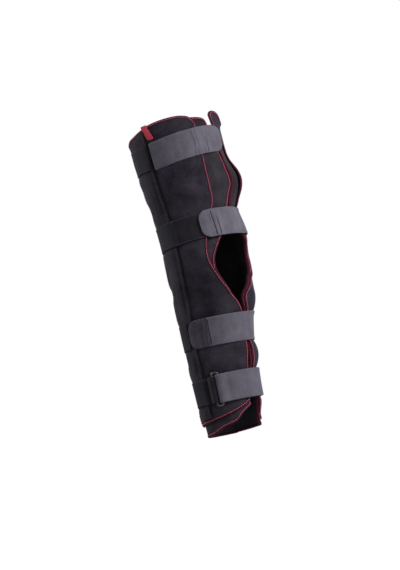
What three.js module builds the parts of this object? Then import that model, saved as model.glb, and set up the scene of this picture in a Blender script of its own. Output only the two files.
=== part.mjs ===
// Knee immobilizer for a right leg: padded panels wrapped round the leg, a kneecap
// opening in front, a stay pocket on each side and four straps with black bands
// behind. The origin is inside the knee, at the height of the kneecap opening.
// +Z runs up the leg, the front is -Y and the outer side of the leg is -X.
// Angles go round the leg in degrees: 0 in front, 90 on the outer side, -90 on the
// inner side, 180 behind. "up" is a height as a share of the length above or below
// the kneecap, and "out" is a distance from the skin.
import * as THREE from "three";

// Lengths above and below the kneecap, and half widths of the hollow
const THIGH_LENGTH = 280;
const CALF_LENGTH = 286;
const THIGH_RADIUS = 71;
const KNEE_RADIUS = 64;
const CALF_RADIUS = 52;
const SHIN_RADIUS = 45;
const DEPTH_TO_WIDTH = 1.05;

// Thicknesses of the layers, and the gap between one layer and the next
const PAD_THICKNESS = 5.5;
const PANEL_THICKNESS = 2.6;
const POCKET_THICKNESS = 3.2;
const STRAP_THICKNESS = 2.2;
const BAND_THICKNESS = 1.6;
const LABEL_THICKNESS = 1.2;
const LAYER_GAP = 0.75;
const RING_GAP = 0.75;
const EDGE_SOFTNESS = 0.3;

// Widths and heights of the trim
const STRAP_WIDTH = 50;
const BAND_WIDTH = 46;
const STRAP_END_RADIUS = 17;
const SQUARE_END_RADIUS = 3;
const LABEL_WIDTH = 12;
const LABEL_DROP = 26;
const RING_WIRE = 3.2;
const RING_PLAY = 2.5;

// Angles where one piece ends and the next begins
const SIDE_SEAM = 128;
const SEAM_GAP = 1.5;
const PANEL_BACK_EDGE = 148;
const POCKET_FRONT = 90;
const POCKET_BACK = 114;
const STRAP_SEAM = -80;
const BAND_CLEARANCE = 1.5;
const THIGH_BAND_START = 92;
const THIGH_BAND_END = -60;
const ABOVE_KNEE_BAND_START = 44;
const BELOW_KNEE_BAND_START = 98.5;
const RING_FRONT = 61;
const KEEPER_END = 81;
const CALF_STRAP_END = -52;
const LABEL_ANGLE = 84;

// How far a strap or band runs on, in degrees, before and after it changes layers
const FOLD_RUN = 3;
const FOLD_SLOPE = 13;
const STEP_NEAR = 2;
const STEP_FAR = 9;
const POCKET_RISE = 6;
const PANEL_START = 4;

// The tab at the inner side's rim: how far it leans out, the share of the thigh where
// it starts, and the angles in front of the leg between which it leans
const TAB_LEAN = 10;
const TAB_FOOT = 0.90;
const TAB_FULL_FROM = 20;
const TAB_FULL_TO = 30;
const TAB_END = 48;

// The share of a bulge by which the inner side's outer layer stands off its liner
const STAND_OFF = 0.17;

// The share of the leg by which a pocket is shorter than its panel, at each end
const POCKET_END = 0.02;
const POCKET_COLUMNS = 2;

// How the label folds over the rim
const LABEL_BEND = 2;
const LABEL_TIP_RISE = 0.4;
const LABEL_SHOULDER = 1;
const LABEL_REACH = 3;

// What a strap or a pocket lies on, counted out from the skin
const ON_PAD = PAD_THICKNESS + LAYER_GAP;
const ON_PANEL = ON_PAD + PANEL_THICKNESS + LAYER_GAP;
const ON_POCKET = ON_PANEL + POCKET_THICKNESS + LAYER_GAP;
const ON_BAND = ON_PANEL + BAND_THICKNESS + LAYER_GAP;
const STRAP_EASE = 0.6;
const ON_INNER_SIDE = ON_PANEL + STRAP_EASE;

// Sections of the leg hollow: half width, and how far its middle lies behind the origin
const LEG = [
  { up: -1.05, round: 0.99 * SHIN_RADIUS, back: 0.39 * SHIN_RADIUS },
  { up: -0.80, round: 1.0 * SHIN_RADIUS, back: 0.43 * SHIN_RADIUS },
  { up: -0.60, round: 0.915 * CALF_RADIUS, back: 0.34 * CALF_RADIUS },
  { up: -0.385, round: 1.0 * CALF_RADIUS, back: 0.245 * CALF_RADIUS },
  { up: -0.19, round: 0.915 * KNEE_RADIUS, back: 0.07 * KNEE_RADIUS },
  { up: 0.0, round: 1.0 * KNEE_RADIUS, back: -0.04 * KNEE_RADIUS },
  { up: 0.20, round: 0.985 * KNEE_RADIUS, back: -0.02 * KNEE_RADIUS },
  { up: 0.39, round: 0.985 * KNEE_RADIUS, back: 0.05 * KNEE_RADIUS },
  { up: 0.59, round: 0.95 * THIGH_RADIUS, back: 0.085 * THIGH_RADIUS },
  { up: 0.785, round: 1.0 * THIGH_RADIUS, back: 0.115 * THIGH_RADIUS },
  { up: 1.05, round: 1.0 * THIGH_RADIUS, back: 0.175 * THIGH_RADIUS },
];

// Places where the wrap stands off the leg between the straps
const BUMP_FULLNESS = 1.6;
const BULGES = [
  { up: 0.548, tall: 0.18 * THIGH_LENGTH, angle: -50, wide: 38, out: 0.25 * THIGH_RADIUS },
  { up: 0.20, tall: 0.15 * THIGH_LENGTH, angle: -48, wide: 38, out: 0.06 * KNEE_RADIUS },
  { up: -0.21, tall: 0.12 * CALF_LENGTH, angle: -38, wide: 36, out: 0.07 * KNEE_RADIUS },
  { up: -0.55, tall: 0.10 * CALF_LENGTH, angle: -42, wide: 40, out: 0.13 * CALF_RADIUS },
  { up: -0.97, tall: 0.14 * CALF_LENGTH, angle: -36, wide: 34, out: -0.13 * CALF_RADIUS },
];

// Front edges, from the hem to the rim
const LATERAL_PANEL_FRONT = [
  { up: -0.84, angle: 10 },
  { up: -0.65, angle: 2 },
  { up: -0.48, angle: -2 },
  { up: -0.385, angle: -1 },
  { up: -0.315, angle: 1.5 },
  { up: -0.22, angle: 14 },
  { up: -0.16, angle: 25 },
  { up: -0.05, angle: 41 },
  { up: 0.04, angle: 48.5 },
  { up: 0.11, angle: 48.5 },
  { up: 0.18, angle: 45 },
  { up: 0.31, angle: 34 },
  { up: 0.38, angle: 25 },
  { up: 0.46, angle: 21 },
  { up: 0.66, angle: 21.7 },
  { up: 0.80, angle: 23 },
  { up: 1.0, angle: 22 },
];
const LATERAL_LINER_FRONT = [
  { up: -0.84, angle: 8 },
  { up: -0.65, angle: 0 },
  { up: -0.48, angle: -4 },
  { up: -0.385, angle: -3 },
  { up: -0.315, angle: -0.5 },
  { up: -0.22, angle: 12 },
  { up: -0.16, angle: 23 },
  { up: -0.09, angle: 34 },
  { up: -0.02, angle: 42 },
  { up: 0.04, angle: 42.5 },
  { up: 0.09, angle: 38 },
  { up: 0.16, angle: 28 },
  { up: 0.21, angle: 18 },
  { up: 0.30, angle: 6 },
  { up: 0.38, angle: -4 },
  { up: 0.44, angle: -12 },
  { up: 0.52, angle: -20 },
  { up: 0.58, angle: -18 },
  { up: 0.68, angle: -10 },
  { up: 0.76, angle: -4 },
  { up: 1.0, angle: 2 },
];
const MEDIAL_LINER_FRONT = [
  { up: -0.90, angle: -24 },
  { up: -0.73, angle: -10 },
  { up: -0.48, angle: -9 },
  { up: -0.385, angle: -8 },
  { up: -0.315, angle: -5 },
  { up: -0.22, angle: 1 },
  { up: -0.16, angle: -5 },
  { up: -0.09, angle: -21 },
  { up: -0.04, angle: -39 },
  { up: 0.04, angle: -46 },
  { up: 0.11, angle: -42 },
  { up: 0.18, angle: -30 },
  { up: 0.24, angle: -16 },
  { up: 0.31, angle: -6 },
  { up: 0.38, angle: -9 },
  { up: 0.44, angle: -16 },
  { up: 0.52, angle: -24 },
  { up: 0.58, angle: -22 },
  { up: 0.68, angle: -14 },
  { up: 0.76, angle: -9 },
  { up: 1.0, angle: -7 },
];
const MEDIAL_PANEL_FRONT = [
  { up: -0.93, angle: -28 },
  { up: -0.83, angle: -19 },
  { up: -0.73, angle: -12.5 },
  { up: -0.48, angle: -11 },
  { up: -0.315, angle: -7.5 },
  { up: -0.22, angle: -1.5 },
  { up: -0.16, angle: -7.5 },
  { up: -0.09, angle: -24 },
  { up: -0.04, angle: -43 },
  { up: 0.04, angle: -50 },
  { up: 0.11, angle: -51 },
  { up: 0.20, angle: -47 },
  { up: 0.31, angle: -40 },
  { up: 0.51, angle: -38 },
  { up: 0.60, angle: -37 },
  { up: 0.68, angle: -33 },
  { up: 0.77, angle: -27 },
  { up: 0.86, angle: -13 },
  { up: 0.92, angle: -4 },
  { up: 1.0, angle: -1 },
];

// Rims and hems, round the leg from front to back
const LATERAL_RIM = [
  { angle: 21, up: 0.885 },
  { angle: 25, up: 0.94 },
  { angle: 32, up: 0.972 },
  { angle: 50, up: 0.985 },
  { angle: 80, up: 0.975 },
  { angle: 110, up: 0.945 },
  { angle: 150, up: 0.915 },
];
const LATERAL_LINER_RIM = [
  { angle: 1, up: 0.90 },
  { angle: 5, up: 0.94 },
  { angle: 13, up: 0.958 },
  { angle: 32, up: 0.965 },
  { angle: 50, up: 0.98 },
  { angle: 80, up: 0.97 },
  { angle: 110, up: 0.94 },
  { angle: 150, up: 0.91 },
];
const MEDIAL_RIM = [
  { angle: -150, up: 0.915 },
  { angle: -110, up: 0.93 },
  { angle: -60, up: 0.935 },
  { angle: -30, up: 0.935 },
  { angle: -24, up: 0.965 },
  { angle: -16, up: 0.995 },
  { angle: -7, up: 0.995 },
  { angle: -1, up: 0.965 },
];
const MEDIAL_LINER_RIM = [
  { angle: -150, up: 0.91 },
  { angle: -110, up: 0.925 },
  { angle: -60, up: 0.925 },
  { angle: -25, up: 0.92 },
  { angle: -7, up: 0.895 },
];
const BACK_RIM = [
  { angle: 129, up: 0.92 },
  { angle: 180, up: 0.90 },
  { angle: 231, up: 0.92 },
];
const LATERAL_HEM = [
  { angle: 10, up: -0.83 },
  { angle: 20, up: -0.85 },
  { angle: 43, up: -0.88 },
  { angle: 76, up: -0.905 },
  { angle: 150, up: -0.93 },
];
const LATERAL_LINER_HEM = [
  { angle: 8, up: -0.86 },
  { angle: 30, up: -0.90 },
  { angle: 45, up: -0.94 },
  { angle: 70, up: -0.96 },
  { angle: 100, up: -0.99 },
  { angle: 150, up: -1.0 },
];
const MEDIAL_HEM = [
  { angle: -150, up: -0.93 },
  { angle: -80, up: -0.94 },
  { angle: -45, up: -0.955 },
  { angle: -28, up: -0.93 },
  { angle: -12, up: -0.86 },
];
const MEDIAL_LINER_HEM = [
  { angle: -150, up: -1.0 },
  { angle: -80, up: -0.99 },
  { angle: -45, up: -0.98 },
  { angle: -24, up: -0.93 },
  { angle: -9, up: -0.85 },
];
const BACK_HEM = [
  { angle: 129, up: -1.0 },
  { angle: 231, up: -1.0 },
];

// Heights of the straps and bands, which dip a little towards the outer side
const THIGH_LEVEL = [
  { angle: -180, up: 0.80 },
  { angle: -10, up: 0.818 },
  { angle: 40, up: 0.795 },
  { angle: 90, up: 0.772 },
  { angle: 180, up: 0.80 },
];
const ABOVE_KNEE_LEVEL = [
  { angle: -180, up: 0.265 },
  { angle: -40, up: 0.282 },
  { angle: 10, up: 0.28 },
  { angle: 50, up: 0.272 },
  { angle: 110, up: 0.262 },
  { angle: 180, up: 0.265 },
];
const BELOW_KNEE_LEVEL = [
  { angle: -180, up: -0.375 },
  { angle: -40, up: -0.378 },
  { angle: 10, up: -0.381 },
  { angle: 90, up: -0.374 },
  { angle: 180, up: -0.375 },
];
const CALF_LEVEL = [
  { angle: -180, up: -0.73 },
  { angle: -40, up: -0.728 },
  { angle: 60, up: -0.727 },
  { angle: 180, up: -0.73 },
];

// What each strap lies on at which angle, from its start to its end
const THIGH_PATH = [
  { angle: 87.5, on: ON_PANEL },
  { angle: 20, on: ON_PANEL },
  { angle: 10, on: ON_PAD },
  { angle: -6, on: ON_PAD },
  { angle: -12, on: ON_INNER_SIDE },
  { angle: -15, on: ON_INNER_SIDE },
];
const ABOVE_KNEE_PATH = [
  { angle: 50, on: ON_BAND },
  { angle: 41, on: ON_BAND },
  { angle: 36, on: ON_PANEL },
  { angle: 24, on: ON_PANEL },
  { angle: 17, on: ON_PAD },
  { angle: -26, on: ON_PAD },
  { angle: -36, on: ON_INNER_SIDE },
  { angle: STRAP_SEAM, on: ON_INNER_SIDE },
];
const BELOW_KNEE_PATH = [
  { angle: 97, on: ON_POCKET },
  { angle: 86, on: ON_POCKET },
  { angle: 76, on: ON_PANEL },
  { angle: -20, on: ON_INNER_SIDE },
  { angle: STRAP_SEAM, on: ON_INNER_SIDE },
];
const CALF_PATH_UNDER = [
  { angle: STRAP_SEAM, on: ON_INNER_SIDE },
  { angle: -20, on: ON_INNER_SIDE },
  { angle: 0, on: ON_PANEL },
  { angle: RING_FRONT - FOLD_RUN, on: ON_PANEL },
];

// Heights of the mesh rows between hem and rim, the same in every upright piece,
// so that layers keep their distance where they curve
const ROW_LEVELS = [
  -0.80, -0.72, -0.65, -0.59, -0.53, -0.46, -0.38, -0.31, -0.26, -0.21, -0.16, -0.11,
  -0.06, -0.01, 0.04, 0.09, 0.14, 0.19, 0.24, 0.30, 0.365, 0.42, 0.48, 0.54, 0.60, 0.66, 0.72,
  0.79, 0.86,
];
const DEGREES_PER_COLUMN = 10.5;
const DEGREES_PER_INNER_COLUMN = 8.5;
const DEGREES_PER_STRAP_STEP = 7.5;
const DEGREES_PER_BAND_STEP = 9;
const TRIM_TURNS = 6;

// How far the front edges lie from the middle of the front, roughly, to count columns
const FRONT_REACH = 8;
const INNER_FRONT_REACH = 20;

const TURN = 360;
const degrees = THREE.MathUtils.degToRad;

// A height in millimetres from its share, and the other way round
function heightOf(up) {
  return up >= 0 ? up * THIGH_LENGTH : up * CALF_LENGTH;
}

function shareOf(height) {
  return height >= 0 ? height / THIGH_LENGTH : height / CALF_LENGTH;
}

// Reads a smooth curve through the rows of a table: the value of one column where
// another has a given value
function follow(rows, by, column, at) {
  const last = rows.length - 1;
  let i = 0;
  while (i < last - 1 && at > rows[i + 1][by]) i += 1;
  const before = rows[Math.max(i - 1, 0)];
  const start = rows[i];
  const end = rows[i + 1];
  const after = rows[Math.min(i + 2, last)];
  const span = end[by] - start[by];
  const t = THREE.MathUtils.clamp((at - start[by]) / span, 0, 1);
  const slopeIn = ((end[column] - before[column]) / (end[by] - before[by])) * span;
  const slopeOut = ((after[column] - start[column]) / (after[by] - start[by])) * span;
  const a = (1 + 2 * t) * (1 - t) * (1 - t);
  const b = t * (1 - t) * (1 - t);
  const c = t * t * (3 - 2 * t);
  const d = t * t * (t - 1);
  return a * start[column] + b * slopeIn + c * end[column] + d * slopeOut;
}

// A smooth bump: 1 in the middle, 0 from the distance 1 on
function bump(distance) {
  return Math.max(1 - distance * distance, 0) ** BUMP_FULLNESS;
}

function bulge(angle, height) {
  let out = 0;
  for (const row of BULGES) {
    const across = bump((angle - row.angle) / row.wide);
    out += row.out * across * bump((height - heightOf(row.up)) / row.tall);
  }
  return out;
}

function legRadius(height) {
  return follow(LEG, "up", "round", shareOf(height));
}

// A point at an angle and a height, some distance out from the skin
function onLeg(angle, height, out) {
  const radius = legRadius(height);
  const proud = out + bulge(angle, height);
  const turn = degrees(angle);
  const back = follow(LEG, "up", "back", shareOf(height));
  const x = -(radius + proud) * Math.sin(turn);
  const y = back - (radius * DEPTH_TO_WIDTH + proud) * Math.cos(turn);
  return new THREE.Vector3(x, y, height);
}

// Closes two facing grids of points into one solid
function closedShell(inside, outside) {
  const rows = inside.length;
  const columns = inside[0].length;
  const points = [...inside.flat(), ...outside.flat()];
  const layer = rows * columns;
  const corner = (i, j) => i * columns + j;
  const faces = [];
  const quad = (a, b, c, d) => faces.push(a, b, c, a, c, d);
  for (let i = 0; i < rows - 1; i += 1) {
    for (let j = 0; j < columns - 1; j += 1) {
      const loop = [corner(i, j), corner(i, j + 1), corner(i + 1, j + 1), corner(i + 1, j)];
      const [a, b, c, d] = loop.map((k) => points[k]);
      if (b.distanceTo(d) < a.distanceTo(c)) loop.push(loop.shift());
      quad(...loop.map((k) => k + layer));
      faces.push(loop[0], loop[2], loop[1], loop[0], loop[3], loop[2]);
    }
  }
  const rim = [];
  for (let j = 0; j < columns - 1; j += 1) rim.push(corner(0, j));
  for (let i = 0; i < rows - 1; i += 1) rim.push(corner(i, columns - 1));
  for (let j = columns - 1; j > 0; j -= 1) rim.push(corner(rows - 1, j));
  for (let i = rows - 1; i > 0; i -= 1) rim.push(corner(i, 0));
  rim.forEach((from, k) => {
    const to = rim[(k + 1) % rim.length];
    quad(from, to, to + layer, from + layer);
  });
  const geometry = new THREE.BufferGeometry();
  geometry.setAttribute("position", new THREE.Float32BufferAttribute(
    points.flatMap((p) => [p.x, p.y, p.z]), 3));
  geometry.setIndex(facesOutwards(points, faces));
  geometry.computeVertexNormals();
  return geometry;
}

// Turns the faces round if the solid they close came out inside out
function facesOutwards(points, faces) {
  let volume = 0;
  for (let k = 0; k < faces.length; k += 3) {
    const [a, b, c] = [0, 1, 2].map((n) => points[faces[k + n]]);
    volume += a.dot(new THREE.Vector3().crossVectors(b, c));
  }
  return volume < 0 ? faces.slice().reverse() : faces;
}

// An upright piece between two side edges, a hem and a rim. Its outer face is a
// little lower along the border, as padding is at its binding.
function uprightPiece(piece) {
  const { front, back, hem, rim, from, thickness, columns, flare } = piece;
  const levels = piece.levels ?? ROW_LEVELS;
  const softness = EDGE_SOFTNESS;
  const inside = [];
  const outside = [];
  const rowCount = levels.length + 2;
  for (let i = 0; i < rowCount; i += 1) {
    const insideRow = [];
    const outsideRow = [];
    for (let j = 0; j <= columns; j += 1) {
      const share = j / columns;
      const angleAt = (up) => THREE.MathUtils.lerp(front(up), back(up), share);
      let up = levels[THREE.MathUtils.clamp(i - 1, 0, levels.length - 1)];
      const trimmed = i === 0 ? hem : i === rowCount - 1 ? rim : null;
      for (let turn = 0; trimmed && turn < TRIM_TURNS; turn += 1) up = trimmed(angleAt(up));
      const angle = angleAt(up);
      const border = i === 0 || i === rowCount - 1 || j === 0 || j === columns;
      const start = from + (flare ? flare(angle, up) : 0);
      const full = thickness * (border ? 1 - softness : 1);
      insideRow.push(onLeg(angle, heightOf(up), start));
      outsideRow.push(onLeg(angle, heightOf(up), start + full));
    }
    inside.push(insideRow);
    outside.push(outsideRow);
  }
  return closedShell(inside, outside);
}

const edge = (rows) => (up) => follow(rows, "up", "angle", up);
const trim = (rows) => (angle) => follow(rows, "angle", "up", angle);
const upright = (angle) => () => angle;

// The half width of a strap at a distance from its end, which has round corners
function halfWidth(width, distance, radius) {
  if (distance >= radius) return width / 2;
  const short = radius - distance;
  return width / 2 - radius + Math.sqrt(radius * radius - short * short);
}

// A strap along a path of angles and distances out, with its corners rounded at
// both ends
function strap({ path, level, width, thickness, startRadius, endRadius }) {
  const middle = path.map((step) => {
    const height = heightOf(follow(level, "angle", "up", step.angle));
    return { ...step, height, round: legRadius(height) + step.out };
  });
  const lengths = [0];
  for (let i = 1; i < middle.length; i += 1) {
    const around = degrees(middle[i].angle - middle[i - 1].angle) * middle[i].round;
    lengths.push(lengths[i - 1] + Math.hypot(around, middle[i].out - middle[i - 1].out));
  }
  const total = lengths[lengths.length - 1];
  const inside = [];
  const outside = [];
  middle.forEach((step, i) => {
    const before = middle[Math.max(i - 1, 0)];
    const after = middle[Math.min(i + 1, middle.length - 1)];
    const around = degrees(after.angle - before.angle) * step.round;
    const rise = after.out - before.out;
    const norm = Math.hypot(around, rise);
    const aside = THREE.MathUtils.radToDeg((-rise / norm) * (thickness / 2) / step.round);
    const off = (around / norm) * (thickness / 2);
    const half = Math.min(
      halfWidth(width, lengths[i], startRadius),
      halfWidth(width, total - lengths[i], endRadius));
    const lower = [];
    const upper = [];
    for (const across of [-1, 0, 1]) {
      const height = step.height + across * half;
      lower.push(onLeg(step.angle - aside, height, step.out - off));
      upper.push(onLeg(step.angle + aside, height, step.out + off));
    }
    inside.push(lower);
    outside.push(upper);
  });
  return closedShell(inside, outside);
}

// Steps along a strap, from rows that say what it lies on at which angle. Short
// steps near the ends shape the round corners.
function lying(rows, thickness, step = DEGREES_PER_STRAP_STEP) {
  const angles = new Set();
  const start = rows[0].angle;
  const end = rows[rows.length - 1].angle;
  const way = Math.sign(end - start);
  const count = Math.ceil(Math.abs(end - start) / step);
  for (let i = 0; i <= count; i += 1) angles.add(start + (way * i * Math.abs(end - start)) / count);
  for (const near of [1.5, 4]) {
    angles.add(start + way * near);
    angles.add(end - way * near);
  }
  const sorted = [...angles].sort((a, b) => way * (a - b));
  return sorted.map((angle) => {
    let i = 0;
    while (i < rows.length - 2 && way * (angle - rows[i + 1].angle) > 0) i += 1;
    const share = (angle - rows[i].angle) / (rows[i + 1].angle - rows[i].angle);
    return { angle, out: THREE.MathUtils.lerp(rows[i].on, rows[i + 1].on, share) + thickness / 2 };
  });
}

// A band that starts on the outer side and runs over both pockets and the back
function backBand(level, start, finish) {
  const first = start < POCKET_FRONT - PANEL_START ? ON_PANEL : ON_POCKET;
  const rows = [
    { angle: start, on: first },
    { angle: Math.max(POCKET_FRONT - POCKET_RISE, start + 1), on: first },
    { angle: Math.max(POCKET_FRONT - STEP_NEAR, start + 2), on: ON_POCKET },
    { angle: POCKET_BACK + STEP_NEAR, on: ON_POCKET },
    { angle: POCKET_BACK + STEP_FAR, on: ON_PANEL },
    { angle: PANEL_BACK_EDGE + STEP_NEAR, on: ON_PANEL },
    { angle: PANEL_BACK_EDGE + STEP_FAR, on: ON_PAD },
    { angle: TURN - PANEL_BACK_EDGE - STEP_FAR, on: ON_PAD },
    { angle: TURN - PANEL_BACK_EDGE - STEP_NEAR, on: ON_PANEL },
    { angle: TURN - POCKET_BACK - STEP_FAR, on: ON_PANEL },
    { angle: TURN - POCKET_BACK - STEP_NEAR, on: ON_POCKET },
    { angle: TURN - POCKET_FRONT + STEP_NEAR, on: ON_POCKET },
    { angle: TURN + finish - 1, on: ON_INNER_SIDE },
    { angle: TURN + finish, on: ON_INNER_SIDE },
  ];
  const again = level.slice(1).map((row) => ({ angle: row.angle + TURN, up: row.up }));
  return strap({
    path: lying(rows, BAND_THICKNESS, DEGREES_PER_BAND_STEP),
    level: [...level, ...again],
    width: BAND_WIDTH,
    thickness: BAND_THICKNESS,
    startRadius: SQUARE_END_RADIUS,
    endRadius: SQUARE_END_RADIUS,
  });
}

const finishes = {
  padding: { color: 0x26242c, roughness: 0.95, metalness: 0 },
  panel: { color: 0x2b2932, roughness: 0.9, metalness: 0 },
  pocket: { color: 0x35343c, roughness: 0.9, metalness: 0 },
  webbing: { color: 0x5d5a66, roughness: 0.8, metalness: 0 },
  band: { color: 0x201f26, roughness: 0.85, metalness: 0 },
  metal: { color: 0x8f9096, roughness: 0.35, metalness: 0.9 },
  label: { color: 0xa82d3e, roughness: 0.75, metalness: 0 },
};

const brace = new THREE.Group();
brace.name = "knee_immobilizer";

function add(name, geometry, finish) {
  const mesh = new THREE.Mesh(geometry, new THREE.MeshStandardMaterial(finishes[finish]));
  mesh.name = name;
  brace.add(mesh);
  return mesh;
}

const columnsFor = (span, step = DEGREES_PER_COLUMN) => Math.round(span / step);

// Padded under layers and the back panel, which meet along the side seams
add("lateral_liner", uprightPiece({
  front: edge(LATERAL_LINER_FRONT),
  back: upright(SIDE_SEAM),
  hem: trim(LATERAL_LINER_HEM),
  rim: trim(LATERAL_LINER_RIM),
  from: 0,
  thickness: PAD_THICKNESS,
  columns: columnsFor(SIDE_SEAM + FRONT_REACH),
}), "padding");
add("medial_liner", uprightPiece({
  front: edge(MEDIAL_LINER_FRONT),
  back: upright(-SIDE_SEAM),
  hem: trim(MEDIAL_LINER_HEM),
  rim: trim(MEDIAL_LINER_RIM),
  from: 0,
  thickness: PAD_THICKNESS,
  columns: columnsFor(SIDE_SEAM - FRONT_REACH, DEGREES_PER_INNER_COLUMN),
}), "padding");
add("back_panel", uprightPiece({
  front: upright(SIDE_SEAM + SEAM_GAP),
  back: upright(TURN - SIDE_SEAM - SEAM_GAP),
  hem: trim(BACK_HEM),
  rim: trim(BACK_RIM),
  from: 0,
  thickness: PAD_THICKNESS,
  columns: columnsFor(TURN - 2 * SIDE_SEAM),
  levels: ROW_LEVELS.filter((_, i) => i % 2 === 0),
}), "padding");

// Outer layers. The inner side's front corner stands up and leans away at the rim.
function tabFlare(angle, up) {
  const high = THREE.MathUtils.clamp((up - TAB_FOOT) / (1 - TAB_FOOT), 0, 1);
  const near = THREE.MathUtils.smoothstep(-angle, 0, TAB_FULL_FROM);
  const far = THREE.MathUtils.smoothstep(-angle, TAB_FULL_TO, TAB_END);
  return TAB_LEAN * high * near * (1 - far) + STAND_OFF * bulge(angle, heightOf(up));
}
add("lateral_panel", uprightPiece({
  front: edge(LATERAL_PANEL_FRONT),
  back: upright(PANEL_BACK_EDGE),
  hem: trim(LATERAL_HEM),
  rim: trim(LATERAL_RIM),
  from: ON_PAD,
  thickness: PANEL_THICKNESS,
  columns: columnsFor(PANEL_BACK_EDGE - FRONT_REACH),
}), "panel");
add("medial_panel", uprightPiece({
  front: edge(MEDIAL_PANEL_FRONT),
  back: upright(-PANEL_BACK_EDGE),
  hem: trim(MEDIAL_HEM),
  rim: trim(MEDIAL_RIM),
  from: ON_PAD,
  thickness: PANEL_THICKNESS,
  columns: columnsFor(PANEL_BACK_EDGE - INNER_FRONT_REACH, DEGREES_PER_INNER_COLUMN),
  flare: tabFlare,
}), "panel");

// Stay pockets, upright on both sides
for (const [name, side, rim, hem] of [
  ["lateral_stay_pocket", 1, LATERAL_RIM, LATERAL_HEM],
  ["medial_stay_pocket", -1, MEDIAL_RIM, MEDIAL_HEM],
]) {
  add(name, uprightPiece({
    front: upright(side * POCKET_FRONT),
    back: upright(side * POCKET_BACK),
    hem: (angle) => trim(hem)(angle) + POCKET_END,
    rim: (angle) => trim(rim)(angle) - POCKET_END,
    from: ON_PANEL,
    thickness: POCKET_THICKNESS,
    columns: POCKET_COLUMNS,
  }), "pocket");
}

// The four straps
add("thigh_strap", strap({
  path: lying(THIGH_PATH, STRAP_THICKNESS),
  level: THIGH_LEVEL,
  width: STRAP_WIDTH,
  thickness: STRAP_THICKNESS,
  startRadius: SQUARE_END_RADIUS,
  endRadius: STRAP_END_RADIUS,
}), "webbing");
add("above_knee_strap", strap({
  path: lying(ABOVE_KNEE_PATH, STRAP_THICKNESS),
  level: ABOVE_KNEE_LEVEL,
  width: STRAP_WIDTH,
  thickness: STRAP_THICKNESS,
  startRadius: STRAP_END_RADIUS,
  endRadius: SQUARE_END_RADIUS,
}), "webbing");
add("below_knee_strap", strap({
  path: lying(BELOW_KNEE_PATH, STRAP_THICKNESS),
  level: BELOW_KNEE_LEVEL,
  width: STRAP_WIDTH,
  thickness: STRAP_THICKNESS,
  startRadius: STRAP_END_RADIUS,
  endRadius: SQUARE_END_RADIUS,
}), "webbing");

// Steps half way round a bar of the ring, from under it to over it
const BAR_HALF_DIAGONAL = RING_WIRE * Math.SQRT1_2;
function foldRadius(thickness) {
  return BAR_HALF_DIAGONAL + RING_GAP + thickness / 2;
}

const ringHeight = heightOf(follow(CALF_LEVEL, "angle", "up", RING_FRONT));
const calfRound = legRadius(ringHeight) + ON_PANEL;
const strapFold = foldRadius(STRAP_THICKNESS);
const keeperFold = foldRadius(BAND_THICKNESS);
const BAR_SPACING = strapFold + keeperFold + (STRAP_THICKNESS + BAND_THICKNESS) / 2 + RING_GAP;
const RING_WIDTH = BAR_SPACING + RING_WIRE;
const barOut = ON_PANEL + STRAP_THICKNESS / 2 + strapFold;
const barToBar = THREE.MathUtils.radToDeg(BAR_SPACING / (calfRound + strapFold));
const RING_BACK = RING_FRONT + barToBar;
function foldRound(barAngle, radius, way) {
  const steps = [];
  for (let turn = -90; turn <= 90; turn += 30) {
    const ahead = (radius * Math.cos(degrees(turn))) / calfRound;
    steps.push({
      angle: barAngle + way * THREE.MathUtils.radToDeg(ahead),
      out: barOut + radius * Math.sin(degrees(turn)),
    });
  }
  return steps;
}

// The calf strap goes through the ring and back on itself
const ON_STRAP = ON_PANEL + STRAP_THICKNESS + LAYER_GAP;
add("calf_strap", strap({
  path: [
    ...lying(CALF_PATH_UNDER, STRAP_THICKNESS),
    ...foldRound(RING_FRONT, strapFold, 1),
    ...lying([
      { angle: RING_FRONT - FOLD_RUN, on: ON_PANEL + 2 * strapFold },
      { angle: RING_FRONT - FOLD_SLOPE, on: ON_STRAP },
      { angle: 0, on: ON_STRAP },
      { angle: -20, on: ON_STRAP + STRAP_EASE },
      { angle: CALF_STRAP_END, on: ON_STRAP + STRAP_EASE },
    ], STRAP_THICKNESS),
  ],
  level: CALF_LEVEL,
  width: STRAP_WIDTH,
  thickness: STRAP_THICKNESS,
  startRadius: SQUARE_END_RADIUS,
  endRadius: STRAP_END_RADIUS,
}), "webbing");

// A short loop of black webbing holds the ring's other bar
const keeperUnder = barOut - keeperFold - BAND_THICKNESS / 2;
const keeperOver = barOut + keeperFold - BAND_THICKNESS / 2;
add("ring_keeper", strap({
  path: [
    ...lying([
      { angle: KEEPER_END, on: ON_PANEL },
      { angle: RING_BACK + FOLD_RUN, on: keeperUnder },
    ], BAND_THICKNESS),
    ...foldRound(RING_BACK, keeperFold, -1),
    ...lying([
      { angle: RING_BACK + FOLD_RUN, on: keeperOver },
      { angle: KEEPER_END, on: ON_BAND },
    ], BAND_THICKNESS),
  ],
  level: CALF_LEVEL,
  width: BAND_WIDTH,
  thickness: BAND_THICKNESS,
  startRadius: SQUARE_END_RADIUS,
  endRadius: SQUARE_END_RADIUS,
}), "band");

// The rectangular ring lies flat on the outer layer, its front bar in the strap's fold
function roundedRectangle(width, tall, radius, steps) {
  const points = [];
  const corners = [[1, -1, -90], [1, 1, 0], [-1, 1, 90], [-1, -1, 180]];
  for (const [right, top, from] of corners) {
    for (let k = 0; k <= steps; k += 1) {
      const turn = degrees(from + (90 * k) / steps);
      const x = right * (width / 2 - radius) + radius * Math.cos(turn);
      const y = top * (tall / 2 - radius) + radius * Math.sin(turn);
      points.push(new THREE.Vector2(x, y));
    }
  }
  return points;
}

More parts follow.
